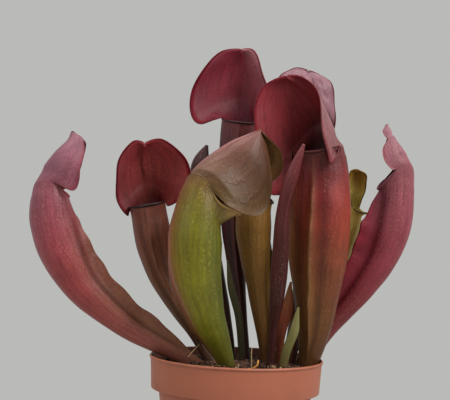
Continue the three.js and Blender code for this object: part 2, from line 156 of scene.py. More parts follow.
def lathe(profile, segments):
    """A closed body of revolution from (radius, height) points that start and end on the axis."""
    turn = np.arange(segments) * 2 * math.pi / segments
    ring = np.stack([np.cos(turn), np.sin(turn)], -1)
    mid = profile[1:-1]
    verts = [(0, 0, profile[0][1])]
    for r, z in mid:
        verts += [(r * x, r * y, z) for x, y in ring]
    verts.append((0, 0, profile[-1][1]))
    faces = []
    for j in range(segments):
        k = (j + 1) % segments
        faces.append((0, 1 + k, 1 + j))
        base = 1 + (len(mid) - 1) * segments
        faces.append((len(verts) - 1, base + j, base + k))
        for i in range(len(mid) - 1):
            a = 1 + i * segments
            faces.append((a + j, a + k, a + segments + k, a + segments + j))
    return verts, faces


# ---------------------------------------------------------------- leaf shapes
GRAIN_ROUND = 80.0   # length given to one turn round a leaf in the grain map


def stem_frames(leaf, t):
    """Centre, half width, half depth, tangent, ventral and side directions along a leaf."""
    s = curve(leaf["stem"], t)
    step = 0.01
    tangent = unit(curve(leaf["stem"], np.minimum(1, t + step))[..., :3]
                   - curve(leaf["stem"], np.maximum(0, t - step))[..., :3])
    face = np.asarray(leaf["face"], float)
    ventral = unit(face - (tangent @ face)[..., None] * tangent)
    return s[..., :3], s[..., 3], s[..., 4], tangent, ventral, np.cross(tangent, ventral)


def column_angles():
    """Angles round a pitcher from the dorsal line, closer together at the ventral wing."""
    u = np.arange(COLS) * 2 * math.pi / COLS
    half = COLS // 2
    for step, angle in ((1, 0.035), (2, 0.10), (3, 0.24)):
        u[half + step] = math.pi + angle
        u[half - step] = math.pi - angle
    return u


WING_SHARE = {0: 1.0, 1: 0.9, 2: 0.3, 3: 0.05}


def tube_points(leaf, t, u):
    """Outer skin of the tube as rows by columns, without the wing."""
    c, a, b, tan, ven, lat = stem_frames(leaf, t)
    near_mouth = ease(0.72, 1, t)
    slope = (leaf.get("tilt", 0) * np.cos(u) + leaf.get("shoulder", 0) * np.sin(u) ** 2
             + leaf.get("lean", 0) * np.sin(u))
    ventral_side = np.clip((0.1 - np.cos(u)) / 0.7, 0, 1)[None, :]
    flare = 1 + leaf.get("flare", 0) * ease(0.9, 1, t)[:, None] * ventral_side
    pleat = 1 + leaf.get("pleat", 0.012) * np.cos(7 * u)[None, :] * bell(t, 0.55, 0.4)[:, None]
    cu = np.cos(u)[None, :, None]
    su = np.sin(u)[None, :, None]
    grow = (flare * pleat)[..., None]
    pts = (c[:, None, :] - ven[:, None, :] * b[:, None, None] * grow * cu
           + lat[:, None, :] * a[:, None, None] * grow * su
           + tan[:, None, :] * (near_mouth[:, None] * slope[None, :])[..., None])
    spout = leaf.get("spout", 0) * ease(0.93, 1, t)[:, None] * bell(u, math.pi, 0.42)[None, :]
    pts = pts + (ven + 0.35 * tan)[:, None, :] * spout[..., None]
    out = unit(pts - c[:, None, :])
    lump = wobble(pts, 16, leaf["seed"]) * leaf.get("lumps", 0.5)
    return pts + out * (lump * ease(0.05, 0.3, t)[:, None])[..., None]


def push_wing(leaf, t, pts):
    """Raises the ventral wing and the dorsal keel out of the tube."""
    _, _, _, _, ven, lat = stem_frames(leaf, t)
    half = COLS // 2
    if "wing" in leaf:
        rows = np.asarray(leaf["wing"], float)
        high = np.interp(t, rows[:, 0], rows[:, 1])
        ripple = leaf.get("ripple", 1)
        sway = ripple * (np.sin(t * 23 + leaf["seed"]) * 0.10 + np.sin(t * 61 + leaf["seed"] * 2) * 0.05)
        edge = high * (1 + 0.08 * ripple * np.sin(t * 47 + leaf["seed"]))
        for k, share in WING_SHARE.items():
            for j in {half - k, half + k}:
                pts[:, j] += ven * (edge * share)[:, None] + lat * (high * share ** 2 * sway)[:, None]
    if "keel" in leaf:
        rows = np.asarray(leaf["keel"], float)
        high = np.interp(t, rows[:, 0], rows[:, 1])
        for j, share in ((0, 1.0), (1, 0.45), (COLS - 1, 0.45), (2, 0.1), (COLS - 2, 0.1)):
            pts[:, j] -= ven * (high * share)[:, None]


def hood_half(leaf, arc, ridge, edge, side):
    """One half of a hood as rows by columns, between the neck arc, mid line and margin."""
    t = (np.arange(1, HOOD_ROWS) / HOOD_ROWS)[:, None]
    s = np.linspace(0, 1, len(arc))[None, :]
    mid = curve(ridge, t[:, 0])[:, None, :]
    rim = curve(edge, t[:, 0])[:, None, :]
    top = np.asarray(ridge[-1], float)
    t3, s3 = t[..., None], s[..., None]
    base = np.asarray(arc)[None, :, :] * (1 - t3) + top * t3
    pull = s3 ** (1 + 0.8 * (1 - t3))
    pts = base + (mid - base[:, :1]) * (1 - s3) + (rim - base[:, -1:]) * pull
    along = curve(ridge, np.minimum(1, t[:, 0] + 0.05)) - curve(ridge, np.maximum(0, t[:, 0] - 0.05))
    normal = unit(np.cross(rim[:, 0] - mid[:, 0], along)) * -side
    arch = leaf.get("bulge", 0) * np.sin(math.pi * s ** 0.8) * np.sin(math.pi * t)
    waves = np.sin(t * 17 + leaf["seed"] * 1.7 + side) * np.sin(math.pi * t)
    frill = leaf.get("frill", 1.2) * s ** 4 * waves
    curl = leaf.get("curl", 1.5) * s ** 5 * ease(0.12, 0.4, t)
    crease = -leaf.get("crease", 1.0) * bell(s, 0, 0.10) * ease(0.15, 0.5, t)
    push = arch + frill + curl + crease
    for where, t0, s0, high, long, wide in leaf.get("dents", ()):
        if where in (0, side):
            push = push + high * bell(t, t0, long) * bell(s, s0, wide)
    return pts + normal[:, None, :] * push[..., None]


def soften_neck(tube, hood, neck):
    """Evens out the join of tube and hood, leaving the mouth and the margins where they are."""
    cols = np.arange(-neck, neck + 1) % COLS
    below, above = 8, 12
    band = np.concatenate([tube[-below:, cols], hood[:above]])
    for _ in range(30):
        mean = (band[:-2, 1:-1] + band[2:, 1:-1] + band[1:-1, :-2] + band[1:-1, 2:]) / 4
        band[1:-1, 1:-1] += 0.6 * (mean - band[1:-1, 1:-1])
    tube[-below:, cols[1:-1]] = band[:below, 1:-1]
    hood[:above] = band[below:]


def paint_at(rows, v, u):
    """Colour at v along a leaf and angle u round it, from rows of
    (v, dorsal, right, ventral, left)."""
    at = np.array([r[0] for r in rows], float)
    table = np.array([[linear(c) for c in r[1:]] for r in rows])
    v = np.asarray(v, float)
    quarter = (np.asarray(u, float) % (2 * math.pi)) / (math.pi / 2)
    lo = quarter.astype(int) % 4
    w = (quarter - np.floor(quarter))[..., None]
    w = w * w * (3 - 2 * w)
    sides = np.stack([np.stack([np.interp(v, at, table[:, q, k]) for k in range(3)], -1) for q in range(4)])
    pick = np.take_along_axis(sides, lo[None, ..., None], 0)[0]
    nxt = np.take_along_axis(sides, ((lo + 1) % 4)[None, ..., None], 0)[0]
    return pick * (1 - w) + nxt * w


def build_pitcher(name, leaf, material):
    """An open pitcher leaf: tube, rolled lip, wing and hood as one closed thin shell."""
    u = column_angles()
    neck = leaf.get("neck", NECK)
    t = np.arange(TUBE_ROWS + 1) / TUBE_ROWS
    tube = tube_points(leaf, t, u)
    ring = tube[-1]
    halves = []
    ridge = [ring[0], *leaf["ridge"]]
    for side, margin in ((1, leaf["right"]), (-1, leaf["left"])):
        arc = [ring[side * k % COLS] for k in range(neck + 1)]
        edge = [arc[-1], *margin, leaf["ridge"][-1]]
        halves.append(hood_half(leaf, arc, ridge, edge, side))
    hood = np.concatenate([halves[1][:, :0:-1], halves[0]], axis=1)
    width = 2 * neck + 1
    soften_neck(tube, hood, neck)
    tube_count = (TUBE_ROWS + 1) * COLS
    tip = tube_count + (HOOD_ROWS - 1) * width
    outer = np.concatenate([tube.reshape(-1, 3), hood.reshape(-1, 3), [leaf["ridge"][-1]]]).astype(float)

    def hood_id(h, k):
        if h == 0:
            return TUBE_ROWS * COLS + k % COLS
        return tip if h == HOOD_ROWS else tube_count + (h - 1) * width + k + neck

    sheet = grid_faces(TUBE_ROWS + 1, COLS, True)
    for h in range(HOOD_ROWS):
        for k in range(-neck, neck):
            quad = (hood_id(h, k), hood_id(h + 1, k), hood_id(h + 1, k + 1), hood_id(h, k + 1))
            sheet.append(tuple(dict.fromkeys(quad)))
    normals = np.zeros_like(outer)
    for f in sheet:
        n = np.cross(outer[f[1]] - outer[f[0]], outer[f[-1]] - outer[f[0]])
        for v in f:
            normals[v] += n
    normals = unit(normals)

    around = (u + math.pi) % (2 * math.pi) - math.pi
    length = np.cumsum(np.linalg.norm(np.diff(tube, axis=0, prepend=tube[:1]), axis=-1).mean(1))
    grain = np.zeros((len(outer), 2))
    grain[:tube_count, 0] = np.tile(around / (2 * math.pi) * GRAIN_ROUND, TUBE_ROWS + 1)
    grain[:tube_count, 1] = np.repeat(length, COLS)
    full = np.concatenate([tube[-1:, np.arange(-neck, neck + 1) % COLS], hood])
    run = np.cumsum(np.linalg.norm(np.diff(full, axis=0), axis=-1), axis=0)
    fan = u[np.abs(np.arange(-neck, neck + 1))] * np.sign(np.arange(-neck, neck + 1))
    grain[tube_count:tip, 0] = np.tile(fan / (2 * math.pi) * GRAIN_ROUND, HOOD_ROWS - 1)
    grain[tube_count:tip, 1] = length[-1] + run.ravel()
    grain[tip] = (0, length[-1] + run[-1].max())

    v_tube = np.repeat(t, COLS)
    u_tube = np.tile(u, TUBE_ROWS + 1)
    share = np.arange(-neck, neck + 1) / neck
    v_hood = 1 + np.repeat(np.arange(1, HOOD_ROWS) / HOOD_ROWS, width)
    turn_out = ease(1.0, 1.3, v_hood)
    spread = np.tile(share * math.pi / 2, HOOD_ROWS - 1)
    u_hood = spread * turn_out + np.tile(fan, HOOD_ROWS - 1) * (1 - turn_out)
    v_all = np.concatenate([v_tube, v_hood, [2.0]])
    u_all = np.concatenate([u_tube, u_hood, [0.0]])
    tint_out = paint_at(leaf["paint"], v_all, u_all)
    tint_in = paint_at(leaf["lining"], v_all, u_all)

    hooded = np.concatenate([np.zeros(tube_count), np.ones(tip - tube_count + 1)])
    margin = np.concatenate([np.zeros(tube_count), np.tile(np.abs(share), HOOD_ROWS - 1) ** 3, [1.0]])
    crest = np.zeros(len(outer))
    if "wing" in leaf:
        rows = np.asarray(leaf["wing"], float)
        high = np.interp(t, rows[:, 0], rows[:, 1]) / max(rows[:, 1])
        for k, part in WING_SHARE.items():
            for j in {COLS // 2 - k, COLS // 2 + k}:
                crest[np.arange(TUBE_ROWS + 1) * COLS + j] = high * part
        # painted shade: the flanks beside the wing are darkened where the wing's folds cast shadow
        groove = bell(np.abs(u - math.pi), 0.42, 0.2)[None, :] * np.clip(high * 1.6, 0, 1)[:, None]
        tint_out[:tube_count] *= 1 - leaf.get("groove", 0.45) * groove.ravel()[:, None]
    if "spout" in leaf:
        beak = (ease(0.93, 0.99, v_all) * bell(u_all, math.pi, 0.4) * (1 - hooded))[:, None]
        tint_out = tint_out * (1 - beak) + linear(leaf["lip_tint"]) * beak
    if "wing_tint" in leaf:
        tint_out = tint_out * (1 - crest[:, None]) + linear(leaf["wing_tint"]) * crest[:, None]
    if "keel" in leaf and "keel_tint" in leaf:
        rows = np.asarray(leaf["keel"], float)
        high = np.interp(t, rows[:, 0], rows[:, 1]) / max(rows[:, 1])
        for j, part in ((0, 1.0), (1, 0.8), (COLS - 1, 0.8)):
            at = np.arange(TUBE_ROWS + 1) * COLS + j
            w = (high * part)[:, None]
            tint_out[at] = tint_out[at] * (1 - w) + linear(leaf["keel_tint"]) * w

    thin = SKIN * (1 - 0.45 * margin)
    inner = outer - normals * thin[:, None]
    winged = outer[:tube_count].reshape(TUBE_ROWS + 1, COLS, 3).copy()
    push_wing(leaf, t, winged)
    outer[:tube_count] = winged.reshape(-1, 3)

    rim = [TUBE_ROWS * COLS + j for j in range(neck, COLS - neck + 1)]
    rim += [hood_id(h, -neck) for h in range(1, HOOD_ROWS)] + [tip]
    rim += [hood_id(h, neck) for h in range(HOOD_ROWS - 1, 0, -1)]
    ring_pts = (outer[rim] + inner[rim]) / 2
    flow = unit(np.roll(ring_pts, -1, 0) - np.roll(ring_pts, 1, 0))
    outward = unit(np.cross(flow, normals[rim]))
    if np.mean(np.sum(outward * (ring_pts - outer.mean(0)), -1)) < 0:
        outward = -outward
    ring_pts = ring_pts + outward * 0.35

    count = len(outer)
    deep = max(2, int(TUBE_ROWS * 0.1))
    verts = np.concatenate([outer, inner, ring_pts, [tube[0].mean(0), tube[deep].mean(0)]])
    faces = list(sheet)
    for f in sheet:
        if min(f) >= deep * COLS:
            faces.append(tuple(v + count for v in reversed(f)))
    foot = 2 * count + len(rim)
    for j in range(COLS):
        k = (j + 1) % COLS
        faces.append((foot, j, k))
        faces.append((foot + 1, count + deep * COLS + k, count + deep * COLS + j))
    n = len(rim)
    for i, a in enumerate(rim):
        b = rim[(i + 1) % n]
        ra, rb = 2 * count + i, 2 * count + (i + 1) % n
        faces.append((a, b, rb, ra))
        faces.append((ra, rb, b + count, a + count))
    keep = np.zeros(len(verts), bool)
    keep[:count] = True
    keep[count + deep * COLS:] = True
    index = np.cumsum(keep) - 1
    faces = [tuple(index[v] for v in f) for f in faces]

    def stack(a, b, rim_values, ends):
        return np.concatenate([a, b, rim_values, ends])[keep]

    grain = stack(grain, grain, grain[rim], grain[[0, 0]])
    mouth_part = (np.arange(len(rim)) < COLS - 2 * neck + 1)[:, None]
    lip_tint = np.where(mouth_part, tint_out[rim] * 0.5 + linear(leaf["lip_tint"]) * 0.5, tint_out[rim])
    if "fold_tint" in leaf:
        fold = (hooded * bell(u_all, 0, 0.17) * ease(1.05, 1.3, v_all))[:, None]
        tint_out = tint_out * (1 - fold) + linear(leaf["fold_tint"]) * fold
    tint = stack(tint_out, tint_in, lip_tint, tint_out[[0, 0]])
    zone_out = np.stack([np.zeros(count), hooded, margin, crest], -1)
    zone_in = np.stack([np.ones(count), hooded, margin, crest * 0], -1)
    zone = stack(zone_out, zone_in, zone_out[rim], zone_out[[0, 0]])
    verts = verts[keep]

    lip_at = range(neck, COLS - neck + 1)
    lip = lip_roll(leaf, tube[-1][lip_at], normals[[TUBE_ROWS * COLS + j for j in lip_at]])
    start = len(verts)
    verts = np.concatenate([verts, lip[0]])
    faces += [tuple(v + start for v in f) for f in lip[1]]
    m = len(lip[0])
    grain = np.concatenate([grain, np.tile([[0.0, length[-1]]], (m, 1))])
    tint = np.concatenate([tint, np.tile(linear(leaf["lip_tint"]), (m, 1))])
    zone = np.concatenate([zone, np.zeros((m, 4))])
    obj = make_object(name, verts, faces, material, grain, tint, zone)
    return settle(obj, leaf["node"], leaf["node"])


def lip_roll(leaf, line, normals):
    """The rolled edge of the mouth: a tapering bead along the ventral half of the rim."""
    n = len(line)
    sides = 10
    s = np.linspace(0, 1, n)
    size = leaf.get("lip", 1.0) * (0.12 + 0.88 * np.sin(math.pi * s) ** 0.8)
    flow = unit(np.gradient(line, axis=0))
    out = unit(normals)
    up = unit(np.cross(out, flow))
    if up[:, 2].mean() < 0:
        up = -up
    centre = line + out * (size * 0.55)[:, None] - up * (size * 0.2)[:, None]
    a = np.arange(sides) * 2 * math.pi / sides
    rings = (centre[:, None] + out[:, None] * (size[:, None] * np.cos(a))[..., None]
             + up[:, None] * (size[:, None] * np.sin(a))[..., None])
    verts = np.concatenate([rings.reshape(-1, 3), centre[:1], centre[-1:]])
    faces = grid_faces(n, sides, True)
    for j in range(sides):
        k = (j + 1) % sides
        faces.append((n * sides, j, k))
        faces.append((n * sides + 1, (n - 1) * sides + k, (n - 1) * sides + j))
    probe = verts[list(faces[0])]
    facing = np.cross(probe[1] - probe[0], probe[3] - probe[0]) @ (probe.mean(0) - centre[0])
    return verts, faces if facing > 0 else [tuple(reversed(f)) for f in faces]


def build_closed_leaf(name, leaf, material, rows=64, cols=32):
    """An unopened pitcher or a flat blade: a closed loft with a seam line down its front."""
    t = np.arange(rows + 1) / rows
    u = np.arange(cols) * 2 * math.pi / cols
    c, a, b, _, ven, lat = stem_frames(leaf, t)
    cu, su = np.cos(u)[None, :, None], np.sin(u)[None, :, None]
    seam = 1 + leaf.get("seam", 0.12) * bell(np.abs(u - math.pi), 0, 0.25)[None, :, None]
    pts = (c[:, None] - ven[:, None] * b[:, None, None] * cu * seam + lat[:, None] * a[:, None, None] * su)
    sway = leaf.get("sway", 0.5) * np.sin(t * 9 + leaf["seed"]) * np.sin(math.pi * t)
    pts = pts + lat[:, None] * sway[:, None, None]
    lumps = wobble(pts, 12, leaf["seed"]) * leaf.get("lumps", 0.25)
    pts = pts + unit(pts - c[:, None]) * lumps[..., None]
    verts = np.concatenate([pts.reshape(-1, 3), pts[0].mean(0)[None], pts[-1].mean(0)[None]])
    faces = grid_faces(rows + 1, cols, True)
    last = rows * cols
    for j in range(cols):
        k = (j + 1) % cols
        faces.append(((rows + 1) * cols, j, k))
        faces.append(((rows + 1) * cols + 1, last + k, last + j))
    around = (u + math.pi) % (2 * math.pi) - math.pi
    length = np.cumsum(np.linalg.norm(np.diff(c, axis=0, prepend=c[:1]), axis=-1))
    across = np.tile(around / (2 * math.pi) * GRAIN_ROUND * 0.5, rows + 1)
    grain = np.stack([across, np.repeat(length, cols)], -1)
    grain = np.concatenate([grain, grain[:1], grain[-1:]])
    tint = paint_at(leaf["paint"], np.repeat(t, cols), np.tile(u, rows + 1))
    tint = np.concatenate([tint, tint[:1], tint[-1:]])
    edge = np.tile(np.abs(np.sin(u)) ** 6, rows + 1)
    zone = np.zeros((len(verts), 4))
    zone[:-2, 2] = edge * leaf.get("edge", 0.0)
    obj = make_object(name, verts, faces, material, grain, tint, zone)
    return settle(obj, leaf["node"], leaf["node"])


# ---------------------------------------------------------------- shader helpers
def put(tree, kind, ins=None, **props):
    """A shader node with its properties set and its inputs set or linked."""
    n = tree.nodes.new(kind)
    for key, value in props.items():
        setattr(n, key, value)
    for key, value in (ins or {}).items():
        if isinstance(value, bpy.types.NodeSocket):
            tree.links.new(value, n.inputs[key])
        else:
            n.inputs[key].default_value = value
    return n


def calc(tree, op, a, b=0.0, c=0.0):
    """One math node; returns its output socket."""
    ins = {0: a, 1: b}
    if op in ("MULTIPLY_ADD", "COMPARE", "SMOOTH_MIN", "SMOOTH_MAX"):
        ins[2] = c
    return put(tree, "ShaderNodeMath", ins, operation=op).outputs[0]


def blend_colours(tree, factor, a, b, mode="MIX"):
    """Colour a turned towards b by the factor."""
    return put(tree, "ShaderNodeMix", {0: factor, 6: a, 7: b}, data_type="RGBA", blend_type=mode).outputs[2]


def remap(tree, value, a, b, c=0.0, d=1.0, kind="SMOOTHSTEP"):
    """The value moved from the range a to b into the range c to d."""
    ins = {0: value, 1: a, 2: b, 3: c, 4: d}
    return put(tree, "ShaderNodeMapRange", ins, interpolation_type=kind).outputs[0]


def vector(tree, op, a, b=None):
    """Vector sum, product or scaling; b is a number for SCALE."""
    ins = {0: a, ("Scale" if op == "SCALE" else 1): b}
    return put(tree, "ShaderNodeVectorMath", ins, operation=op).outputs[0]


def start_group(name, inputs, outputs):
    """An empty shader node group with the named sockets; returns it with its two end nodes."""
    group = bpy.data.node_groups.new(name, "ShaderNodeTree")
    for label, kind, value in inputs:
        sock = group.interface.new_socket(label, in_out="INPUT", socket_type=kind)
        if value is not None:
            sock.default_value = value
    for label, kind in outputs:
        group.interface.new_socket(label, in_out="OUTPUT", socket_type=kind)
    return group, group.nodes.new("NodeGroupInput"), group.nodes.new("NodeGroupOutput")


def use_group(tree, group, ins):
    """A node group placed in a tree with its inputs set or linked."""
    return put(tree, "ShaderNodeGroup", ins, node_tree=group)


def new_material(name, **principled):
    """A new material with plain values set on its shader; returns it with tree and shader."""
    mat = bpy.data.materials.new(name)
    mat.use_nodes = True
    bsdf = mat.node_tree.nodes["Principled BSDF"]
    for key, value in principled.items():
        bsdf.inputs[key.replace("_", " ")].default_value = value
    return mat, mat.node_tree, bsdf


def make_net_veins():
    """Leaf veins: long lines that run up the leaf, joined by a fine net."""
    g, gin, gout = start_group("net_veins", [
        ("Grain", "NodeSocketVector", None), ("Spacing", "NodeSocketFloat", 4.0),
        ("Net Size", "NodeSocketFloat", 3.0), ("Wander", "NodeSocketFloat", 5.0)],
        [("Lines", "NodeSocketFloat"), ("Net", "NodeSocketFloat")])
    grain = gin.outputs["Grain"]
    drift = put(g, "ShaderNodeTexNoise", {"Vector": grain, "Scale": 0.11, "Detail": 3.0}).outputs["Color"]
    offset = vector(g, "SUBTRACT", drift, (0.5, 0.5, 0.5))
    moved = vector(g, "SCALE", offset, gin.outputs["Wander"])
    large = vector(g, "ADD", grain, moved)
    jitter = put(g, "ShaderNodeTexNoise", {"Vector": grain, "Scale": 0.5, "Detail": 2.0}).outputs["Color"]
    shift = vector(g, "SUBTRACT", jitter, (0.5, 0.5, 0.5))
    small = vector(g, "SCALE", shift, 2.2)
    warped = vector(g, "ADD", large, small)
    split = put(g, "ShaderNodeSeparateXYZ", {0: warped})
    across = calc(g, "DIVIDE", split.outputs[0], gin.outputs["Spacing"])
    saw = calc(g, "PINGPONG", across, 0.5)
    lines = remap(g, saw, 0.0, 0.16, 1.0, 0.0)
    squeeze = vector(g, "MULTIPLY", warped, (1.0, 0.5, 1.0))
    inverse = calc(g, "DIVIDE", 1.0, gin.outputs["Net Size"])
    cells = put(g, "ShaderNodeTexVoronoi", {"Vector": squeeze, "Scale": inverse},
                feature="DISTANCE_TO_EDGE", voronoi_dimensions="2D").outputs["Distance"]
    net = remap(g, cells, 0.0, 0.10, 1.0, 0.0)
    fade = put(g, "ShaderNodeTexNoise", {"Vector": grain, "Scale": 0.06, "Detail": 2.0}).outputs[0]
    shown = remap(g, fade, 0.35, 0.65, 0.35, 1.0)
    g.links.new(calc(g, "MULTIPLY", lines, shown), gout.inputs["Lines"])
    g.links.new(calc(g, "MULTIPLY", net, shown), gout.inputs["Net"])
    return g


def make_streaks():
    """Fine stripes and pale specks that follow the length of a leaf."""
    g, gin, gout = start_group("streaks", [("Grain", "NodeSocketVector", None)],
                               [("Stripe", "NodeSocketFloat"), ("Speck", "NodeSocketFloat")])
    grain = gin.outputs["Grain"]
    long = vector(g, "MULTIPLY", grain, (0.75, 0.045, 1.0))
    stripe = put(g, "ShaderNodeTexNoise", {"Vector": long, "Scale": 1.0, "Detail": 4.0,
                                           "Roughness": 0.62}).outputs[0]
    tall = vector(g, "MULTIPLY", grain, (1.0, 0.45, 1.0))
    dots = put(g, "ShaderNodeTexVoronoi", {"Vector": tall, "Scale": 0.75},
               voronoi_dimensions="2D").outputs["Distance"]
    where = put(g, "ShaderNodeTexNoise", {"Vector": long, "Scale": 0.6, "Detail": 2.0}).outputs[0]
    speck = calc(g, "MULTIPLY", remap(g, dots, 0.30, 0.10), remap(g, where, 0.45, 0.62))
    g.links.new(stripe, gout.inputs["Stripe"])
    g.links.new(speck, gout.inputs["Speck"])
    return g


def make_mottle():
    """Cloudy light and dark patches over a colour, plus fine specks."""
    g, gin, gout = start_group("mottle", [
        ("Colour", "NodeSocketColor", (0.5, 0.5, 0.5, 1.0)), ("Place", "NodeSocketVector", None),
        ("Size", "NodeSocketFloat", 60.0), ("Strength", "NodeSocketFloat", 0.2)],
        [("Colour", "NodeSocketColor"), ("Cloud", "NodeSocketFloat")])
    cloud = put(g, "ShaderNodeTexNoise", {"Vector": gin.outputs["Place"], "Scale": gin.outputs["Size"],
                                           "Detail": 5.0, "Roughness": 0.6}).outputs[0]
    swing = calc(g, "SUBTRACT", cloud, 0.5)
    gain = calc(g, "MULTIPLY_ADD", swing, calc(g, "MULTIPLY", gin.outputs["Strength"], 2.0), 1.0)
    grey = put(g, "ShaderNodeCombineColor", {0: gain, 1: gain, 2: gain}).outputs[0]
    g.links.new(blend_colours(g, 1.0, gin.outputs["Colour"], grey, "MULTIPLY"), gout.inputs["Colour"])
    g.links.new(cloud, gout.inputs["Cloud"])
    return g


NET_VEINS = make_net_veins()
MOTTLE = make_mottle()
STREAKS = make_streaks()


def leaf_skin(name, vein, lines=0.35, net=0.3, spacing=5.0, rough=0.46, margin=(120, 40, 48),
              speck=(200, 150, 120), specks=0.22, streak=0.5):
    """Waxy living leaf: painted tint, net veins, cloudy patches, fine pores and a satin sheen."""
    mat, tree, bsdf = new_material(name, Specular_IOR_Level=0.28)
    tint = put(tree, "ShaderNodeAttribute", attribute_name="tint").outputs["Color"]
    zone = put(tree, "ShaderNodeAttribute", attribute_name="zone")
    parts = put(tree, "ShaderNodeSeparateColor", {0: zone.outputs["Color"]})
    grain = put(tree, "ShaderNodeUVMap", uv_map="grain").outputs[0]
    place = put(tree, "ShaderNodeTexCoord").outputs["Object"]
    veins = use_group(tree, NET_VEINS, {"Grain": grain, "Spacing": spacing, "Net Size": 2.3})
    stripes = use_group(tree, STREAKS, {"Grain": grain})
    cloud = use_group(tree, MOTTLE, {"Colour": tint, "Place": place, "Size": 70.0, "Strength": 0.32})
    fine = use_group(tree, MOTTLE, {"Colour": cloud.outputs["Colour"], "Place": place, "Size": 420.0,
                                    "Strength": 0.16})
    swing = calc(tree, "MULTIPLY_ADD", stripes.outputs["Stripe"], streak * 2, 1.0 - streak)
    shade = put(tree, "ShaderNodeCombineColor", {0: swing, 1: swing, 2: swing}).outputs[0]
    striped = blend_colours(tree, 1.0, fine.outputs["Colour"], shade, "MULTIPLY")
    off_wing = calc(tree, "MULTIPLY", remap(tree, zone.outputs["Alpha"], 0.0, 0.05, 1.0, 0.0),
                    calc(tree, "MULTIPLY_ADD", parts.outputs[1], -0.75 * specks, specks))
    fleck = calc(tree, "MULTIPLY", stripes.outputs["Speck"], off_wing)
    flecked = blend_colours(tree, fleck, striped, colour(*speck))
    line_mask = calc(tree, "MULTIPLY", veins.outputs["Lines"], lines)
    net_mask = calc(tree, "MULTIPLY", veins.outputs["Net"], net)
    mask = calc(tree, "MAXIMUM", line_mask, net_mask)
    skin = blend_colours(tree, mask, flecked, colour(*vein))
    edge = calc(tree, "MULTIPLY", remap(tree, parts.outputs[2], 0.72, 1.0), 0.55)
    skin = blend_colours(tree, edge, skin, colour(*margin))
    dots = put(tree, "ShaderNodeTexVoronoi", {"Vector": place, "Scale": 260.0}).outputs["Distance"]
    rare = put(tree, "ShaderNodeTexNoise", {"Vector": place, "Scale": 95.0}).outputs[0]
    spot = calc(tree, "MULTIPLY", remap(tree, dots, 0.10, 0.02), remap(tree, rare, 0.62, 0.68))
    skin = blend_colours(tree, calc(tree, "MULTIPLY", spot, 0.6), skin, colour(196, 176, 158))
    rich = put(tree, "ShaderNodeHueSaturation",
               {"Saturation": 1.1, "Value": 0.94, "Color": skin}).outputs[0]
    tree.links.new(rich, bsdf.inputs["Base Color"])
    dull = calc(tree, "MULTIPLY_ADD", cloud.outputs["Cloud"], 0.22, rough - 0.11)
    tree.links.new(calc(tree, "MULTIPLY_ADD", parts.outputs[0], 0.10, dull), bsdf.inputs["Roughness"])
    pores = put(tree, "ShaderNodeTexNoise", {"Vector": place, "Scale": 1600.0, "Detail": 2.0}).outputs[0]
    ridges = calc(tree, "MULTIPLY_ADD", veins.outputs["Lines"], 0.8, calc(tree, "MULTIPLY", pores, 0.25))
    height = calc(tree, "MULTIPLY_ADD", veins.outputs["Net"], 0.35, ridges)
    bump = put(tree, "ShaderNodeBump", {"Strength": 0.35, "Distance": 0.0006, "Height": height}).outputs[0]
    tree.links.new(bump, bsdf.inputs["Normal"])
    return mat


# ---------------------------------------------------------------- leaf data
# stem rows: x, y, z, half width, half depth in mm. face: ventral direction.
# ridge: mid line of the hood above the neck. left, right: hood margins from the neck to the tip.
# paint rows: place along the leaf (0 foot, 1 neck, 2 tip) and the colour on the
# dorsal side, right flank, ventral side and left flank.
def plain(*rows):
    """Paint rows with one colour all round the leaf."""
    return [(v, c, c, c, c) for v, c in rows]


# lining rows colour the inner face; their near black rows low in the tube and the dark ventral rows at the
# mouth are painted shade inside the pitcher, while the dark red under the hood is its own colour
DARK_THROAT = plain((0, (40, 22, 18)), (0.8, (52, 24, 24)), (1, (60, 24, 26)), (2, (96, 36, 42)))

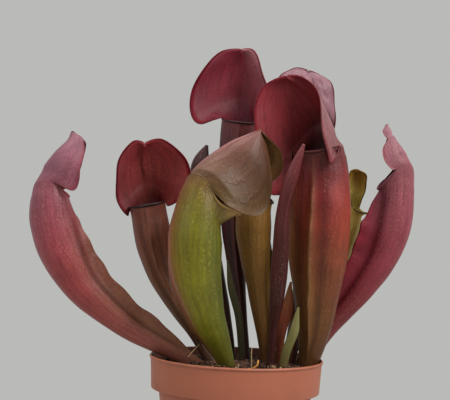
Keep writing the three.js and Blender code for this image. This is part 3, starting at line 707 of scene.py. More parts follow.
PITCHERS = {
    "far_left": dict(
        seed=1, face=(1, -0.15, 0.2), tilt=3, flare=-0.05, bulge=3, crease=0.2, lip=0.5, frill=1.0,
        curl=1.0, groove=0.6,
        stem=[(-20, -4, 90, 4, 4), (-46, -3, 103.5, 6.2, 6.2), (-76, -2, 118.5, 8.8, 9),
              (-106, -3, 143, 12.5, 13), (-122, -4, 167, 14.5, 16), (-130, -5, 189, 14.5, 16),
              (-132, -5, 208, 12.5, 13)],
        wing=[(0, 0), (0.08, 0), (0.25, 8), (0.5, 8), (0.75, 3), (0.9, 0.5), (1, 0)],
        wing_tint=(122, 82, 66),
        neck=18, shoulder=7, lean=-3,
        ridge=[(-138, -5, 225), (-130, -5, 236), (-123, -5, 244), (-120, -5, 251)],
        left=[(-116, -21, 210), (-111, -20, 217), (-110, -18, 228), (-109, -13, 238), (-111, -8, 246)],
        right=[(-118, 10, 215), (-115, 10, 221), (-113, 8, 230), (-110, 4, 239), (-111, -1, 245)],
        dents=[(-1, 0.10, 0.78, -3.0, 0.10, 0.16), (-1, 0.42, 0.6, 1.0, 0.2, 0.2),
               (-1, 0.25, 0.5, -1.2, 0.08, 0.3)],
        paint=[(0, (130, 84, 68), (130, 84, 68), (120, 84, 64), (132, 90, 76)),
               (0.3, (134, 78, 70), (128, 76, 66), (128, 88, 68), (138, 82, 74)),
               (0.55, (150, 84, 86), (140, 72, 72), (128, 78, 66), (146, 72, 72)),
               (0.75, (150, 96, 104), (140, 78, 80), (130, 72, 70), (146, 76, 82)),
               (0.9, (142, 98, 110), (136, 86, 94), (128, 74, 78), (136, 78, 88)),
               (1, (140, 98, 110), (134, 88, 98), (130, 76, 82), (132, 80, 90)),
               (1.2, (138, 96, 108), (134, 88, 98), (134, 88, 98), (132, 80, 90)),
               (2, (136, 98, 110), (134, 94, 104), (134, 94, 104), (134, 92, 102))],
        lining=DARK_THROAT, lip_tint=(150, 84, 88), skin=dict(vein=(112, 34, 40), lines=0.22, net=0.42)),
    "left_red": dict(
        seed=2, face=(-0.1, -1, 0.1), tilt=2, flare=0.12, bulge=2, crease=1.6, frill=0.8, lip=1.0,
        stem=[(-14, 7, 90, 4, 4), (-28, 11, 113, 5.5, 5.5), (-42, 14, 133, 7.5, 7.5),
              (-54, 17, 154, 10.5, 10.5), (-62, 20, 179, 13, 13), (-67, 22, 203, 12.5, 12)],
        wing=[(0, 0), (0.1, 0), (0.4, 4), (0.8, 3), (1, 0)], wing_tint=(110, 70, 52),
        ridge=[(-70, 31, 222), (-72, 27, 236), (-71, 20, 245)],
        left=[(-81, 17, 194), (-87, 14, 204), (-89, 13, 219), (-87, 14, 233), (-79, 18, 246)],
        right=[(-52, 17, 202), (-44, 13, 208), (-38, 12, 221), (-43, 14, 237), (-58, 18, 248)],
        paint=[(0, (66, 46, 36), (66, 46, 36), (66, 46, 36), (66, 46, 36)),
               (0.4, (110, 78, 58), (98, 68, 46), (104, 72, 48), (112, 80, 62)),
               (0.75, (134, 92, 82), (112, 68, 52), (116, 70, 52), (128, 82, 70)),
               (1, (134, 92, 86), (118, 70, 62), (122, 74, 64), (122, 74, 68)),
               (2, (150, 104, 108), (140, 92, 98), (140, 92, 98), (140, 92, 98))],
        lining=[(0, (40, 22, 18), (40, 22, 18), (40, 22, 18), (40, 22, 18)),
                (1, (84, 36, 34), (96, 40, 40), (60, 26, 26), (88, 42, 44)),
                (1.15, (92, 36, 32), (104, 42, 40), (60, 26, 26), (96, 46, 48)),
                (1.5, (122, 54, 52), (116, 46, 44), (60, 26, 26), (112, 52, 54)),
                (2, (120, 50, 52), (128, 46, 50), (60, 26, 26), (132, 54, 58))],
        # painted shade: the near black lip stands for the shadow line along the mouth's front edge
        lip_tint=(40, 22, 22),
        skin=dict(vein=(56, 20, 24), lines=0.35, net=0.36, margin=(116, 30, 42), specks=0.1)),
    "front_green": dict(
        seed=3, face=(1, -0.3, 0), tilt=10, flare=0.0, bulge=5, crease=-0.8, frill=0.4, curl=-4, lip=1.3,
        stem=[(-4, -12, 90, 4, 4.5), (-13, -21, 112, 8, 8.5), (-22, -29, 133, 11.5, 12.5),
              (-29, -35, 158, 15, 16.5), (-31, -37, 183, 16, 18), (-27, -34, 209, 13.5, 14.5)],
        keel=[(0, 0), (0.08, 0), (0.3, 6), (0.6, 3), (0.75, 0), (1, 0)], keel_tint=(104, 76, 50),
        neck=20, shoulder=11, lean=-4, fold_tint=(150, 106, 104),
        ridge=[(-39, -32, 221), (-28, -31, 234), (-12, -31, 246), (0, -30, 252), (10, -30, 256)],
        left=[(-11, -50, 205), (-2, -49, 200.5), (8, -44, 199.5), (16, -38, 205), (18.5, -36, 221),
              (16.5, -34, 235), (13.5, -32, 247)],
        right=[(-2, -18, 214), (12, -16, 219), (21, -17, 225), (25, -19, 233), (23, -22, 243),
               (17, -26, 250)],
        dents=[(0, 0.6, 0.2, -1.3, 0.5, 0.07), (-1, 0.06, 0.72, -1.6, 0.05, 0.12),
               (-1, 0.3, 0.55, 0.8, 0.1, 0.1)],
        paint=[(0, (96, 64, 42), (84, 76, 36), (88, 86, 42), (94, 88, 42)),
               (0.3, (122, 76, 50), (98, 96, 38), (90, 96, 46), (114, 112, 40)),
               (0.6, (140, 66, 54), (100, 98, 38), (84, 88, 42), (116, 112, 38)),
               (0.84, (138, 66, 56), (100, 92, 40), (90, 94, 38), (108, 104, 36)),
               (0.94, (128, 72, 62), (106, 88, 48), (98, 92, 42), (108, 86, 44)),
               (1, (120, 80, 70), (108, 84, 52), (98, 86, 44), (106, 80, 52)),
               # painted shade: the left flank rows of the hood are darkened to stand for the shade on the
               # lobe that hangs over the olive pitcher
               (1.2, (114, 84, 70), (98, 76, 48), (82, 68, 36), (84, 62, 34)),
               (1.6, (126, 86, 78), (104, 76, 54), (78, 56, 34), (66, 44, 22)),
               (2, (140, 94, 94), (120, 86, 62), (90, 64, 40), (92, 58, 46))],
        lining=[(0, (40, 34, 18), (40, 34, 18), (40, 34, 18), (40, 34, 18)),
                (0.9, (96, 88, 40), (104, 104, 46), (112, 112, 48), (96, 88, 40)),
                (1.3, (92, 56, 40), (112, 74, 46), (92, 76, 44), (92, 56, 40)),
                (2, (110, 70, 50), (150, 116, 80), (92, 56, 40), (92, 56, 40))],
        spout=12.5, lip_tint=(176, 142, 96),
        skin=dict(vein=(92, 50, 34), lines=0.34, net=0.24, margin=(92, 64, 42), speck=(196, 176, 96),
                  specks=0.3)),
    "olive": dict(
        seed=4, face=(1, -0.3, 0), tilt=8, flare=0.08, bulge=3, lip=0.9,
        stem=[(22, 2, 90, 3.5, 3.5), (18, 2, 118, 5, 5), (13, 3, 145, 7, 7), (10, 4, 170, 10, 10.5),
              (8, 4, 193, 11.5, 12.5), (9, 4, 216, 10.5, 11)],
        wing=[(0, 0), (0.08, 0), (0.2, 3), (0.5, 1.5), (0.7, 0), (1, 0)], wing_tint=(136, 100, 62),
        ridge=[(1, 5, 233), (15, 6, 237), (27, 7, 224)],
        left=[(19, -8, 214), (25, -3, 213)],
        right=[(20, 17, 217), (25, 14, 216)],
        paint=[(0, (92, 60, 36), (92, 60, 36), (92, 62, 38), (94, 60, 36)),
               (0.35, (110, 78, 44), (110, 78, 44), (110, 80, 44), (112, 80, 42)),
               (0.7, (124, 88, 50), (124, 88, 48), (126, 94, 52), (130, 96, 52)),
               # painted light: the rows near the mouth are lightened to make up for the shadow of the green
               # pitcher's hood lobe
               (1, (136, 98, 60), (138, 98, 58), (146, 106, 62), (152, 112, 66)),
               (2, (110, 60, 56), (100, 44, 44), (100, 44, 44), (96, 40, 42))],
        lining=DARK_THROAT, lip_tint=(120, 80, 56), skin=dict(vein=(70, 36, 26), lines=0.3, net=0.35)),
    "front_right": dict(
        seed=5, face=(-0.4, -1, 0.05), tilt=3, flare=0.08, bulge=2.5, crease=0.8, frill=0.8, curl=1.0,
        lip=1.0,
        stem=[(48, -4, 90, 5, 5), (52, -5, 116, 10.5, 9.5), (53, -6, 144, 15.5, 14),
              (53, -8, 171, 20.5, 17.5), (53, -8, 199, 21.5, 18.5), (53, -6, 225, 19.5, 17.5),
              (51, -5, 246, 17.5, 16.5)],
        wing=[(0, 0), (0.08, 0), (0.3, 4), (0.7, 2.5), (1, 0)], wing_tint=(118, 86, 56),
        neck=18, shoulder=2,
        ridge=[(54, 8, 264), (46, 1, 279), (36, -7, 289), (26, -12, 294)],
        left=[(30, -13, 224), (25, -13, 214), (18, -12, 214), (12, -11, 226), (8, -10, 243), (6, -9, 259),
              (6, -8, 273), (10, -8, 285), (17, -10, 291)],
        right=[(61, -25, 240), (56.5, -29, 235), (53.5, -28, 244), (51, -26, 256), (49, -24, 270),
               (47, -21, 281), (43, -18, 289), (35, -14, 294)],
        paint=[(0, (70, 46, 30), (70, 46, 30), (68, 46, 30), (70, 50, 32)),
               # left flank: a real tan stripe, painted lighter than its colour as painted light on the side
               # the key light misses
               (0.25, (96, 60, 42), (98, 62, 40), (110, 74, 44), (130, 104, 60)),
               (0.5, (120, 70, 58), (124, 70, 54), (112, 60, 42), (156, 110, 74)),
               (0.62, (128, 74, 62), (134, 66, 54), (120, 50, 42), (158, 108, 76)),
               (0.74, (134, 82, 74), (144, 66, 60), (120, 42, 42), (156, 98, 76)),
               (0.9, (128, 82, 84), (108, 56, 58), (92, 34, 36), (112, 58, 54)),
               (1, (136, 92, 94), (106, 62, 64), (76, 34, 34), (82, 38, 38)),
               (2, (160, 116, 118), (166, 120, 122), (92, 40, 36), (150, 104, 108))],
        # lining: dark rows at the mouth are painted shade, and the hood rows are painted lighter than their
        # colour to make up for the hood's own shadow
        lining=[(0, (40, 22, 18), (40, 22, 18), (40, 22, 18), (40, 22, 18)),
                (1, (56, 26, 28), (70, 30, 32), (48, 20, 22), (90, 40, 42)),
                (1.25, (84, 34, 36), (92, 38, 40), (60, 26, 26), (120, 46, 50)),
                (1.5, (120, 48, 52), (120, 48, 52), (60, 26, 26), (128, 52, 56)),
                (2, (116, 48, 52), (122, 50, 56), (60, 26, 26), (134, 54, 62))],
        # painted shade: the dark lip stands for the shadow line along the mouth's front edge
        lip_tint=(78, 34, 32),
        skin=dict(vein=(78, 26, 24), lines=0.36, net=0.34, margin=(128, 42, 50), specks=0.12)),
    "back_pink": dict(
        seed=6, face=(0.2, 1, 0), tilt=3, flare=0.08, bulge=3, crease=0.3, frill=1.2, lip=1.0,
        stem=[(36, 14, 90, 4, 4), (45, 27, 139, 7, 7), (50, 33, 196, 11, 11), (50, 35, 240, 13.5, 13.5),
              (48, 35, 266, 13, 13)],
        ridge=[(46, 22, 284), (45, 25, 297), (43, 31, 302)],
        left=[(63, 28, 262), (63, 26, 275), (61, 26, 289), (55, 29, 298)],
        right=[(28, 26, 268), (22, 26, 283), (23, 27, 297), (32, 29, 303)],
        dents=[(0, 0.62, 0.35, -1.5, 0.05, 0.08), (-1, 0.45, 0.55, -1.5, 0.05, 0.08)],
        paint=plain((0, (70, 48, 38)), (0.4, (104, 72, 56)), (0.8, (134, 90, 88)), (1, (138, 100, 106)),
                    (2, (138, 104, 112))),
        lining=DARK_THROAT, lip_tint=(150, 96, 92), skin=dict(vein=(128, 62, 66), lines=0.2, net=0.35)),
    "tall_back": dict(
        seed=7, face=(0, -1, 0.1), tilt=2, flare=0.1, bulge=2, crease=1.4, frill=1.0, lip=0.9,
        stem=[(7, 16, 90, 4, 4), (3, 24, 128, 3.5, 3.5), (-3, 30, 165, 6.5, 6.5), (-6, 32, 195, 9, 9),
              (-6, 32, 230, 12, 11.5), (-4, 30, 266, 13, 12)],
        wing=[(0, 0), (0.1, 0), (0.5, 2.5), (0.9, 1.5), (1, 0)], wing_tint=(104, 66, 58),
        ridge=[(-5, 43, 286), (-5, 39, 304), (-5, 31, 316)],
        left=[(-23, 22, 264), (-31, 21, 261), (-37, 21, 264), (-39, 21, 273), (-37, 22, 288),
              (-30, 24, 302), (-19, 28, 313)],
        right=[(10, 24, 268), (15, 23, 276), (13, 23, 290), (9, 25, 303), (3, 29, 315)],
        paint=[(0, (52, 28, 22), (52, 28, 22), (52, 26, 22), (50, 24, 20)),
               (0.5, (60, 30, 26), (60, 28, 24), (56, 26, 22), (54, 24, 20)),
               (0.8, (124, 74, 72), (122, 72, 70), (98, 54, 54), (80, 40, 46)),
               (1, (146, 96, 96), (150, 100, 98), (118, 68, 70), (96, 52, 60)),
               (2, (156, 108, 114), (156, 108, 114), (150, 100, 106), (150, 100, 106))],
        lining=[(0, (36, 18, 16), (36, 18, 16), (36, 18, 16), (36, 18, 16)),
                (1, (84, 26, 36), (96, 40, 48), (50, 20, 24), (110, 50, 58)),
                (1.2, (84, 26, 34), (120, 54, 60), (50, 20, 24), (104, 40, 48)),
                (1.5, (124, 54, 62), (156, 96, 102), (50, 20, 24), (110, 46, 54)),
                (2, (112, 46, 56), (166, 114, 118), (50, 20, 24), (116, 42, 54))],
        # painted shade: the near black lip stands for the shadow line along the mouth's front edge
        lip_tint=(56, 24, 30),
        skin=dict(vein=(66, 18, 30), lines=0.26, net=0.36, margin=(124, 34, 46), specks=0.12)),
    "small_yellow": dict(
        seed=8, face=(1, -0.7, 0), tilt=4, flare=0.15, spout=3, bulge=1.5, crease=0.3, frill=0.4,
        curl=0.5, lip=0.8,
        stem=[(45, 20, 90, 2.5, 2.5), (59, 28, 125, 4, 4), (72, 35, 165, 5.5, 5.5), (79, 37, 190, 6, 6),
              (82, 38, 207, 5.5, 5.5)],
        ridge=[(81, 43, 220), (80, 42, 229), (82, 39, 234)],
        left=[(76, 36, 214), (75, 35, 224), (77, 36, 232)],
        right=[(87, 37, 214), (89, 36, 224), (88, 36, 231)],
        # painted light: paint and lining are lighter than the leaf's colour, to make up for the shade the
        # pitchers in front cast on it
        paint=plain((0, (132, 116, 62)), (0.5, (198, 176, 98)), (0.85, (226, 206, 120)),
                    (1, (222, 200, 116)), (2, (186, 148, 84))),
        lining=plain((0, (50, 42, 22)), (0.9, (200, 184, 108)), (1.3, (206, 188, 110)),
                     (1.6, (170, 134, 74)), (2, (156, 120, 68))),
        lip_tint=(170, 150, 90), skin=dict(vein=(96, 60, 34), lines=0.3, net=0.3, margin=(120, 84, 50))),
    "far_right": dict(
        seed=9, face=(-1, -0.3, 0.1), tilt=5, flare=0.08, bulge=2, crease=0.2, frill=0.8, curl=0.8, lip=1.0,
        stem=[(45, 7, 90, 4, 4), (62, 13, 119, 6, 6.5), (81, 14, 143, 8, 8.5), (97, 13, 168, 10.5, 11),
              (106, 12, 194, 12.5, 13), (108, 12, 225, 11, 12)],
        wing=[(0, 0), (0.08, 0), (0.3, 7), (0.6, 12), (0.8, 11.5), (0.92, 5.5), (0.98, 1), (1, 0)],
        wing_tint=(122, 42, 52), ripple=0.4,
        neck=18, shoulder=10, lean=4,
        ridge=[(116.5, 13, 237), (110, 12, 247), (104, 12, 252), (101.5, 12, 256), (102.5, 12, 261),
               (99, 12, 266)],
        left=[(109, 25, 240), (102, 23, 245), (99, 20, 250), (99.5, 17, 255), (99, 15, 257),
              (96.5, 13.5, 261)],
        right=[(102, -1, 234), (96, 0, 240), (95.5, 3, 248), (98, 6, 254), (97.5, 8, 256.5),
               (95.5, 10, 261)],
        paint=[(0, (84, 50, 44), (84, 46, 42), (80, 42, 38), (80, 42, 38)),
               (0.35, (132, 68, 72), (118, 52, 56), (104, 40, 46), (104, 40, 46)),
               (0.7, (146, 84, 92), (136, 68, 76), (118, 46, 56), (118, 46, 56)),
               (1, (154, 104, 112), (130, 78, 84), (112, 66, 74), (112, 66, 74)),
               (2, (158, 116, 122), (154, 112, 120), (150, 108, 114), (150, 108, 114))],
        lining=DARK_THROAT, lip_tint=(118, 70, 76), skin=dict(vein=(104, 32, 42), lines=0.24, net=0.34)),
}

CLOSED = {
    "young_red": dict(
        node="pitcher_young_red", seed=11, face=(0.3, -1, 0), seam=0.16, lumps=0.3,
        stem=[(23, -12, 90, 3, 3), (24, -17, 120, 3, 3), (25, -26, 150, 5.5, 5), (26, -32, 180, 5.5, 5.5),
              (27, -35, 203, 4.5, 4.5), (32, -39, 228, 4.2, 4), (38, -42, 247, 0.8, 0.8)],
        paint=[(0, (56, 30, 26), (60, 28, 26), (58, 26, 24), (60, 34, 28)),
               (0.4, (60, 28, 26), (62, 30, 28), (60, 24, 24), (70, 32, 28)),
               (0.7, (80, 36, 34), (78, 34, 32), (76, 30, 30), (96, 44, 42)),
               (0.9, (104, 52, 56), (96, 40, 42), (104, 48, 52), (124, 70, 76)),
               (1, (116, 60, 64), (112, 56, 60), (116, 60, 64), (134, 84, 88))],
        skin=dict(vein=(52, 18, 20), lines=0.35, net=0.25, spacing=4.0)),
    "young_dark": dict(
        node="pitcher_young_dark", seed=12, face=(-0.3, -1, 0), seam=0.16,
        stem=[(-2, 17, 90, 3, 3), (-8, 26, 120, 4, 4), (-18, 36, 160, 6, 6), (-27, 38, 200, 7.5, 7),
              (-31, 37, 230, 7.5, 6), (-27, 36, 247, 1, 1)],
        paint=plain((0, (50, 30, 26)), (0.6, (60, 32, 30)), (0.9, (82, 52, 54)), (1, (70, 40, 40))),
        skin=dict(vein=(40, 18, 20), lines=0.3, net=0.25)),
    "olive_blade": dict(
        node="blade_olive", seed=13, face=(0, -1, 0), seam=0.3, lumps=0.15, edge=0.5,
        stem=[(25, 11, 90, 2.6, 1.3), (22, 15, 122, 2.8, 1.3), (21, 18, 155, 3.6, 1.3),
              (19, 20, 188, 0.6, 0.6)],
        paint=plain((0, (66, 56, 34)), (0.5, (92, 84, 42)), (1, (96, 82, 44))),
        skin=dict(vein=(60, 56, 26), lines=0.4, net=0.1, spacing=2.5, margin=(120, 104, 62))),
    "red_brown_blade": dict(
        node="blade_red_brown", seed=14, face=(0.2, -1, 0), seam=0.3, lumps=0.15, edge=1.0,
        stem=[(29, -5, 90, 2.6, 1.3), (30, -8, 114, 3, 1.3), (33, -10, 136, 4, 1.3),
              (35, -10, 154, 0.6, 0.6)],
        paint=plain((0, (86, 50, 38)), (0.5, (120, 62, 46)), (1, (140, 92, 62))),
        skin=dict(vein=(92, 40, 30), lines=0.4, net=0.1, spacing=2.5, margin=(160, 122, 84))),
    "green_blade": dict(
        node="blade_green", seed=15, face=(0.2, -1, 0), seam=0.3, lumps=0.15, edge=0.6,
        stem=[(31, -14, 90, 2.6, 1.3), (34, -18, 108, 3.2, 1.3), (38, -22, 124, 3, 1.2),
              (40, -24, 138, 0.6, 0.6)],
        paint=plain((0, (104, 82, 60)), (0.4, (112, 108, 66)), (1, (126, 118, 80))),
        skin=dict(vein=(86, 92, 42), lines=0.4, net=0.1, spacing=2.5, margin=(150, 140, 92))),
    "dull_red_blade": dict(
        node="blade_dull_red", seed=16, face=(0, -1, 0), seam=0.3, lumps=0.15, edge=0.5,
        stem=[(38, 3, 90, 2, 1.2), (39, 5, 112, 2.4, 1.2), (38, 6, 136, 0.6, 0.6)],
        paint=plain((0, (78, 44, 36)), (1, (112, 60, 48))),
        skin=dict(vein=(70, 34, 28), lines=0.4, net=0.1, spacing=2.5, margin=(120, 76, 58))),
    "dark_green_blade": dict(
        node="blade_dark_green", seed=17, face=(0.2, -1, 0), seam=0.3, lumps=0.15, edge=0.4,
        stem=[(5, 5, 90, 2, 1.2), (1, 5, 122, 2.6, 1.2), (-5, 4, 147, 2.6, 1.2), (-9, 3, 166, 0.6, 0.6)],
        paint=plain((0, (46, 40, 26)), (0.5, (62, 60, 34)), (1, (70, 66, 38))),
        skin=dict(vein=(40, 44, 22), lines=0.4, net=0.1, spacing=2.5, margin=(90, 80, 50))),
}

NODE_OF = {
    "far_left": "pitcher_far_left", "left_red": "pitcher_left", "front_green": "pitcher_front_green",
    "olive": "pitcher_olive", "front_right": "pitcher_front_right", "back_pink": "pitcher_back_pink",
    "tall_back": "pitcher_tall_back", "small_yellow": "pitcher_small_yellow",
    "far_right": "pitcher_far_right",
}

for label, leaf in PITCHERS.items():
    leaf["node"] = NODE_OF[label]
    build_pitcher("pitcher_leaf_" + label, leaf, leaf_skin("skin_" + label, **leaf["skin"]))
for label, leaf in CLOSED.items():
    build_closed_leaf("leaf_" + label, leaf, leaf_skin("skin_" + label, **leaf["skin"]))


# ---------------------------------------------------------------- pot
def make_pot_plastic():
    """Terracotta-coloured moulded plastic with dust, faint rubbing and old water marks; the inner wall is
    darker from soil stain and painted shade.
    """
    mat, tree, bsdf = new_material("pot_plastic", Specular_IOR_Level=0.4)
    place = put(tree, "ShaderNodeTexCoord").outputs["Object"]
    base = use_group(tree, MOTTLE, {"Colour": colour(162, 92, 67), "Place": place, "Size": 28.0,
                                    "Strength": 0.10})
    fine = use_group(tree, MOTTLE, {"Colour": base.outputs["Colour"], "Place": place, "Size": 900.0,
                                    "Strength": 0.06})
    high = put(tree, "ShaderNodeSeparateXYZ", {0: place}).outputs[2]
    stain = put(tree, "ShaderNodeTexNoise", {"Vector": place, "Scale": 55.0, "Detail": 6.0}).outputs[0]
    low = calc(tree, "MULTIPLY", remap(tree, stain, 0.5, 0.72), remap(tree, high, 0.0, 0.1, 0.5, 0.2))
    skin = blend_colours(tree, low, fine.outputs["Colour"], colour(120, 74, 54))
    rim_dirt = calc(tree, "MULTIPLY", remap(tree, high, 0.0965, 0.0985), remap(tree, stain, 0.4, 0.65))
    skin = blend_colours(tree, calc(tree, "MULTIPLY", rim_dirt, 0.4), skin, colour(110, 70, 52))
    # darker inner wall above the soil: soil stain plus painted shade inside the pot
    flat = vector(tree, "MULTIPLY", place, (1.0, 1.0, 0.0))
    reach = put(tree, "ShaderNodeVectorMath", {0: flat}, operation="LENGTH").outputs["Value"]
    wall = calc(tree, "SUBTRACT", reach, calc(tree, "MULTIPLY_ADD", high, 0.065, 0.0524))
    inner_wall_stain_and_shade = calc(tree, "MULTIPLY", remap(tree, wall, 0.0003, -0.0003), remap(tree, high, 0.0788, 0.0796))
    skin = blend_colours(tree, calc(tree, "MULTIPLY", inner_wall_stain_and_shade, 0.75), skin, colour(84, 52, 44))
    tree.links.new(skin, bsdf.inputs["Base Color"])
    tree.links.new(calc(tree, "MULTIPLY_ADD", stain, 0.25, 0.40), bsdf.inputs["Roughness"])
    pits = put(tree, "ShaderNodeTexNoise", {"Vector": place, "Scale": 700.0, "Detail": 3.0}).outputs[0]
    bump = put(tree, "ShaderNodeBump", {"Strength": 0.12, "Distance": 0.0004, "Height": pits}).outputs[0]
    tree.links.new(bump, bsdf.inputs["Normal"])
    return mat


RIM_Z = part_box("pot")[1].z / MM
POT_SEGMENTS = 144
DRAIN_HOLES = 6
DRAIN_HOLE_R = 4          # radius of a drain hole, mm
DRAIN_CIRCLE_R = 22       # radius of the circle that the drain holes lie on, mm


def arc_points(cx, cz, r, start, stop, steps):
    """Points of a rounded corner in the pot's profile, angles in degrees."""
    out = []
    for a in np.radians(np.linspace(start, stop, steps)):
        out.append((cx + r * math.cos(a), cz + r * math.sin(a)))
    return out


def build_pot(material):
    """The nursery pot: tapered body, stepped rim band, rounded bead and drain holes."""
    profile = [(0, 0.0), (28, 0.0), (40.5, 0.0)]
    profile += arc_points(41.0, 1.0, 1.0, -80, -5, 5)
    profile += [(46.5, 34.0), (50.0, 56.0), (52.7, 75.4)]
    profile += arc_points(53.6, 76.5, 0.9, 180, 90, 4)
    profile += arc_points(57.4, 78.1, 0.7, -90, -5, 4)
    profile += [(58.6, 88.0), (59.15, 97.2), (59.2, 97.8)]
    profile += arc_points(59.3, 98.9, 0.75, -70, 60, 7)
    profile += arc_points(59.2, 99.4, 0.6, 70, 170, 5)
    profile += [(58.45, 98.4), (57.9, 90.0), (56.9, 79.6), (56.2, 79.0), (52.2, 79.0), (51.6, 78.2),
                (47.9, 50.0), (40.6, 2.4), (39.8, 1.6), (0, 1.6)]
    verts, faces = lathe(profile, POT_SEGMENTS)
    pot = make_object("pot_shell", verts, faces, material)
    cutters = []
    for i in range(DRAIN_HOLES):
        turn = math.pi * (i + 0.5) * 2 / DRAIN_HOLES
        hole_v, hole_f = lathe([(0, -2), (DRAIN_HOLE_R, -2), (DRAIN_HOLE_R, 4), (0, 4)], 28)
        step = (DRAIN_CIRCLE_R * math.cos(turn), DRAIN_CIRCLE_R * math.sin(turn), 0)
        moved = np.asarray(hole_v, float) + step
        cutters.append((moved, hole_f))
    offset = 0
    all_v, all_f = [], []
    for v, f in cutters:
        all_v.append(v)
        all_f += [tuple(k + offset for k in face) for face in f]
        offset += len(v)
    cutter = make_object("drain_cutter", np.concatenate(all_v), all_f, material)
    mod = pot.modifiers.new("drain", "BOOLEAN")
    mod.object = cutter
    mod.operation = "DIFFERENCE"
    mod.solver = "EXACT"
    plain_mesh(pot)
    bpy.data.objects.remove(cutter)
    pot.data.set_sharp_from_angle(angle=math.radians(40))
    return settle(pot, "pot_plastic", "pot")


def plain_mesh(obj):
    """Turns an object with modifiers into a plain mesh and drops the modifiers."""
    deps = bpy.context.evaluated_depsgraph_get()
    done = bpy.data.meshes.new_from_object(obj.evaluated_get(deps), preserve_all_data_layers=True,
                                           depsgraph=deps)
    obj.modifiers.clear()
    old = obj.data
    obj.data = done
    done.name = obj.name
    if old.users == 0:
        bpy.data.meshes.remove(old)


build_pot(make_pot_plastic())


# ---------------------------------------------------------------- soil and rhizome
def make_peat():
    """Damp dark peat: lumps, pale fibre flecks and a broken surface."""
    mat, tree, bsdf = new_material("peat_soil", Specular_IOR_Level=0.25)
    place = put(tree, "ShaderNodeTexCoord").outputs["Object"]
    lump = put(tree, "ShaderNodeTexNoise", {"Vector": place, "Scale": 240.0, "Detail": 8.0}).outputs[0]
    ramp = put(tree, "ShaderNodeValToRGB", {0: lump})
    ramp.color_ramp.elements[0].position = 0.32
    ramp.color_ramp.elements[0].color = colour(18, 12, 9)
    ramp.color_ramp.elements[1].position = 0.68
    ramp.color_ramp.elements[1].color = colour(58, 39, 29)
    flecks = put(tree, "ShaderNodeTexVoronoi", {"Vector": place, "Scale": 420.0}).outputs["Distance"]
    pale = calc(tree, "MULTIPLY", remap(tree, flecks, 0.22, 0.08), remap(tree, lump, 0.5, 0.6))
    skin = blend_colours(tree, calc(tree, "MULTIPLY", pale, 0.5), ramp.outputs[0], colour(150, 118, 84))
    tree.links.new(skin, bsdf.inputs["Base Color"])
    tree.links.new(remap(tree, lump, 0.3, 0.7, 0.7, 0.95), bsdf.inputs["Roughness"])
    bump = put(tree, "ShaderNodeBump", {"Strength": 0.8, "Distance": 0.0012, "Height": lump}).outputs[0]
    tree.links.new(bump, bsdf.inputs["Normal"])
    return mat


def make_bark(name, dark, light, stretch=(1.0, 1.0, 1.0)):
    """Weathered bark and dead leaf: grain streaks from dark to light."""
    mat, tree, bsdf = new_material(name, Specular_IOR_Level=0.3)
    place = put(tree, "ShaderNodeTexCoord").outputs["Object"]
    turned = put(tree, "ShaderNodeMapping", {"Vector": place, "Scale": stretch}).outputs[0]
    streak = put(tree, "ShaderNodeTexNoise", {"Vector": turned, "Scale": 300.0, "Detail": 6.0}).outputs[0]
    skin = blend_colours(tree, remap(tree, streak, 0.34, 0.66), colour(*dark), colour(*light))
    tree.links.new(skin, bsdf.inputs["Base Color"])
    tree.links.new(remap(tree, streak, 0.3, 0.7, 0.65, 0.9), bsdf.inputs["Roughness"])
    bump = put(tree, "ShaderNodeBump", {"Strength": 0.5, "Distance": 0.0006, "Height": streak}).outputs[0]
    tree.links.new(bump, bsdf.inputs["Normal"])
    return mat


SOIL_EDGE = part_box("soil")[1].x / MM
SOIL_Z = 93.0


def soil_top(x, y):
    """Height of the soil, mounded round the crown."""
    return (SOIL_Z + 2.6 * math.exp(-((x - 12) ** 2) / 1500 - (y * y) / 900)
            + 0.5 * math.sin(x * 0.33 + 1) * math.cos(y * 0.29) + 0.3 * math.sin(x * 0.71 - y * 0.53))


def build_soil(material):
    """The soil as one closed body with a crumbly top."""
    segments, rings = 180, 70
    verts = [(0, 0, 2.0)]
    rows = [(40.0, 2.0), (51.0, 78.6), (51.2, 79.4), (56.2, 79.4)]
    turn = np.arange(segments) * 2 * math.pi / segments
    for r, z in rows:
        verts += [(r * math.cos(a), r * math.sin(a), z) for a in turn]
    for i in range(rings):
        r = SOIL_EDGE * (1 - i / rings)
        for a in turn:
            x, y = r * math.cos(a), r * math.sin(a)
            rough = noise.fractal(Vector((x, y, 3)) / 7, 1.0, 2.0, 5) * 0.9
            fade = 1 - 0.5 * (r / SOIL_EDGE) ** 8
            verts.append((x, y, soil_top(x, y) + rough * fade))
    verts.append((0, 0, soil_top(0, 0)))
    n = len(rows) + rings
    faces = []
    for j in range(segments):
        k = (j + 1) % segments
        faces.append((0, 1 + k, 1 + j))
        last = 1 + (n - 1) * segments
        faces.append((len(verts) - 1, last + j, last + k))
        for i in range(n - 1):
            a = 1 + i * segments
            faces.append((a + j, a + k, a + segments + k, a + segments + j))
    return settle(make_object("soil_body", verts, faces, material), "peat_soil", "soil")


